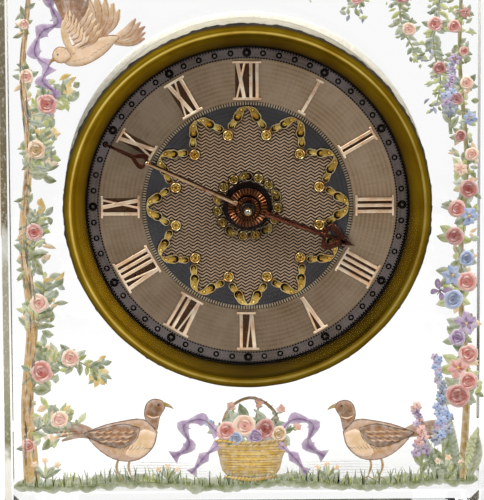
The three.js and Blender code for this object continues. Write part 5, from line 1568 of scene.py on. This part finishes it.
def paint_sky():
    """A dove with a ribbon, hanging sprays and butterflies over the dial."""
    work = Enamel(13)
    paint_dove(work, (-30.4, 29.8), 1.42, -24)
    beak = (-37.3, 27.0)
    curls = ([beak, (-40.0, 29.6), (-38.6, 33.6), (-35.6, 35.4), (-37.0, 39.6), (-33.4, 43.2)],
             [beak, (-38.6, 24.2), (-36.4, 21.8), (-37.8, 18.0)])
    for curl in curls:
        work.ribbon(curl, 1.6, 10 * len(curl))
    sprays = (
        [(44.0, 59.0), (38.5, 53.0), (30.5, 49.5), (22.0, 50.5), (14.0, 55.0), (8.0, 58.5)],
        [(8.0, 58.5), (0.0, 52.5), (-8.5, 50.5), (-17.0, 52.5), (-26.0, 58.5)],
        [(30.5, 49.5), (31.0, 44.0), (29.0, 38.5), (29.6, 33.6), (32.2, 28.6)],
        [(22.0, 50.5), (20.6, 45.5), (21.8, 41.0), (20.4, 37.2)],
        [(38.5, 53.0), (36.0, 46.0), (36.4, 38.0), (35.2, 31.0), (36.6, 24.0), (36.0, 19.5)],
        [(-8.5, 50.5), (-9.0, 46.0), (-7.4, 42.4)],
    )
    for spray in sprays:
        work.sprig(spray, 0.75, 2.5, (OLIVE, SAGE, SAGE, LIME, MOSS))
        for point in spray[1:]:
            work.cloud(point, (1.9, 1.9), 16, 1.25, (SAGE, LIME, OLIVE, SLATE))
    for x, y, radius, colours in (
        (30.6, 46.6, 1.8, PINK_ROSE), (29.4, 40.0, 1.5, RED_ROSE), (30.6, 33.6, 1.35, PEACH_ROSE),
        (21.4, 46.0, 1.4, PEACH_ROSE), (20.8, 39.6, 1.25, PINK_ROSE), (36.4, 43.2, 1.6, TEA_ROSE),
        (35.6, 34.6, 1.5, PINK_ROSE), (36.4, 26.2, 1.3, RED_ROSE), (-8.6, 49.8, 1.6, PINK_ROSE),
        (13.6, 54.6, 1.5, PEACH_ROSE), (-8.0, 43.8, 1.1, PEACH_ROSE), (38.6, 53.0, 1.6, RED_ROSE),
    ):
        work.leafy_rose((x, y), radius, colours, (15, 80, 150, 220, 300))
    paint_butterfly(work, (11.2, 42.6), 0.95, 24, PEACH, RUSSET)
    paint_butterfly(work, (-39.0, 52.5), 0.9, -30, BLUE, SLATE)
    paint_butterfly(work, (36.6, -16.8), 0.62, 35, LILAC, PLUM)
    clear_of_bezel = 39.5
    for _ in range(60):
        x, y = work.chance.uniform(-34, 34), work.chance.uniform(36.5, 58)
        if np.hypot(x, y) > clear_of_bezel:
            facing, colour = work.chance.uniform(0, 360), work.pick((SAGE, LIME, PINK))
            work.leaf((x, y), facing, 0.7, 0.2, colour, 0.05, False)
    work.make("enamel_sky")


STEEL_WORDS = ("screw", "arbor", "click", "index", "pinion", "pallet", "ratchet")
CASE_PIECES = ("winding_key", "setting_knob")


def finish_cad_nodes():
    """Every CAD node that still shows gets the finish that its name calls for."""
    for name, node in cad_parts.items():
        if node.hide_render:
            continue
        if name.endswith("spring"):
            finish = blued
        elif any(word in name for word in STEEL_WORDS):
            finish = steel
        elif name in CASE_PIECES:
            finish = case_brass
        else:
            finish = works_brass
        node.data.materials.clear()
        node.data.materials.append(finish)


def add_camera():
    distance = 0.9
    scale = 0.18993  # millimetres to a pixel at the dial
    azimuth, elevation, roll = math.radians(-0.6), math.radians(10.8), math.radians(-0.3)
    back = Vector((math.sin(azimuth) * math.cos(elevation), -math.cos(azimuth) * math.cos(elevation),
                   math.sin(elevation)))
    turn = (-back).to_track_quat("-Z", "Y") @ Matrix.Rotation(roll, 3, "Z").to_quaternion()
    right, up = turn @ Vector((1, 0, 0)), turn @ Vector((0, 1, 0))
    middle = Vector((0, GLASS_FRONT, DIAL_HEIGHT)) * MM
    dial_x, dial_y = 247.5, 205.6
    middle -= right * ((dial_x - PHOTO_WIDTH / 2) * scale * MM)
    middle -= up * ((PHOTO_HEIGHT / 2 - dial_y) * scale * MM)
    data = bpy.data.cameras.new("camera")
    data.sensor_width = 36.0
    data.lens = data.sensor_width * distance / (PHOTO_HEIGHT * scale * MM)
    data.clip_start, data.clip_end = 0.01, 20.0
    camera = bpy.data.objects.new("camera", data)
    camera.rotation_mode = "QUATERNION"
    camera.location = middle + back * distance
    camera.rotation_quaternion = turn
    bpy.context.scene.collection.objects.link(camera)
    bpy.context.scene.camera = camera


def add_lamp(name, place, size, power):
    data = bpy.data.lights.new(name, "AREA")
    data.shape = "RECTANGLE"
    data.size, data.size_y = size
    data.energy = power
    lamp = bpy.data.objects.new(name, data)
    lamp.location = place
    lamp.rotation_mode = "QUATERNION"
    aim = Vector((0, GLASS_FRONT * MM, DIAL_HEIGHT * MM)) - Vector(place)
    lamp.rotation_quaternion = aim.to_track_quat("-Z", "Y")
    bpy.context.scene.collection.objects.link(lamp)


def add_world():
    """White where it is seen, dimmer in front where metal mirrors it, and soft light for the rest."""
    world = bpy.data.worlds.new("studio")
    bpy.context.scene.world = world
    world.use_nodes = True
    sky = Tree(world.node_tree)
    background = world.node_tree.nodes["Background"].inputs
    ambient = 0.6
    toward = sky.node("SeparateXYZ", {0: sky.node("TexCoord").outputs["Generated"]}).outputs["Y"]
    front = sky.spread(toward, 0.4, 1.0, -0.95, -0.3, "SMOOTHSTEP")
    mirrored = sky.math("GREATER_THAN", sky.node("LightPath").outputs["Glossy Depth"], 0.5)
    seen = sky.any_ray(SEEN_RAYS)
    dim = sky.math("MULTIPLY", mirrored, sky.math("SUBTRACT", 1.0, front))
    shown = sky.math("MULTIPLY", seen, sky.math("SUBTRACT", 1.0, dim))
    soft = sky.math("MULTIPLY", sky.math("SUBTRACT", 1.0, seen), ambient)
    sky.put(background["Strength"], sky.math("ADD", shown, soft))
    sky.put(background["Color"], WHITE)


def add_floor():
    """A pale round floor that shows as white but keeps the shadow."""
    radius, steps, drop = 0.34, 96, 0.0002
    mesh = bpy.data.meshes.new("floor")
    mesh.from_pydata(flat(circle(radius, steps), -drop).tolist(), [], [tuple(range(steps))])
    floor = bpy.data.objects.new("floor", mesh)
    bpy.context.scene.collection.objects.link(floor)
    made = Nodes("pale_floor")
    speck = made.spread(made.noise(90.0, 4.0), 0.0, 0.3)
    made.set(Base_Color=made.mix(speck, (0.5, 0.5, 0.49), (0.44, 0.44, 0.43)), Roughness=0.9)
    seen = made.any_ray(SEEN_RAYS)
    glow = made.node("Emission", {"Color": WHITE, "Strength": made.math("MULTIPLY", seen, 0.45)}).outputs[0]
    near = made.node("AddShader", {0: made.shader.outputs[0], 1: glow}).outputs[0]
    far = made.node("Emission", {"Color": WHITE, "Strength": seen}).outputs[0]
    away = made.node("VectorMath", {0: made.place()}, operation="LENGTH").outputs["Value"]
    share = made.spread(away, 0.0, 1.0, 0.07, 0.2)
    made.show(made.node("MixShader", {0: share, 1: near, 2: far}).outputs[0])
    mesh.materials.append(made.material)


add_camera()
add_block()
add_packing()
add_bezel()
add_crystal()
add_dial()
add_dial_marks()
add_guilloche()
add_dial_field()
add_wreath()
add_garland()
add_numerals()
add_hands()
add_back()
paint_ground()
paint_climber()
paint_spires()
paint_sky()
finish_cad_nodes()
add_world()
add_floor()
add_lamp("key", (-0.45, -0.35, 0.75), (0.5, 0.5), 9.0)
add_lamp("fill", (0.6, -0.3, 0.5), (0.4, 0.4), 4.0)
bpy.context.scene.view_settings.view_transform = "Standard"
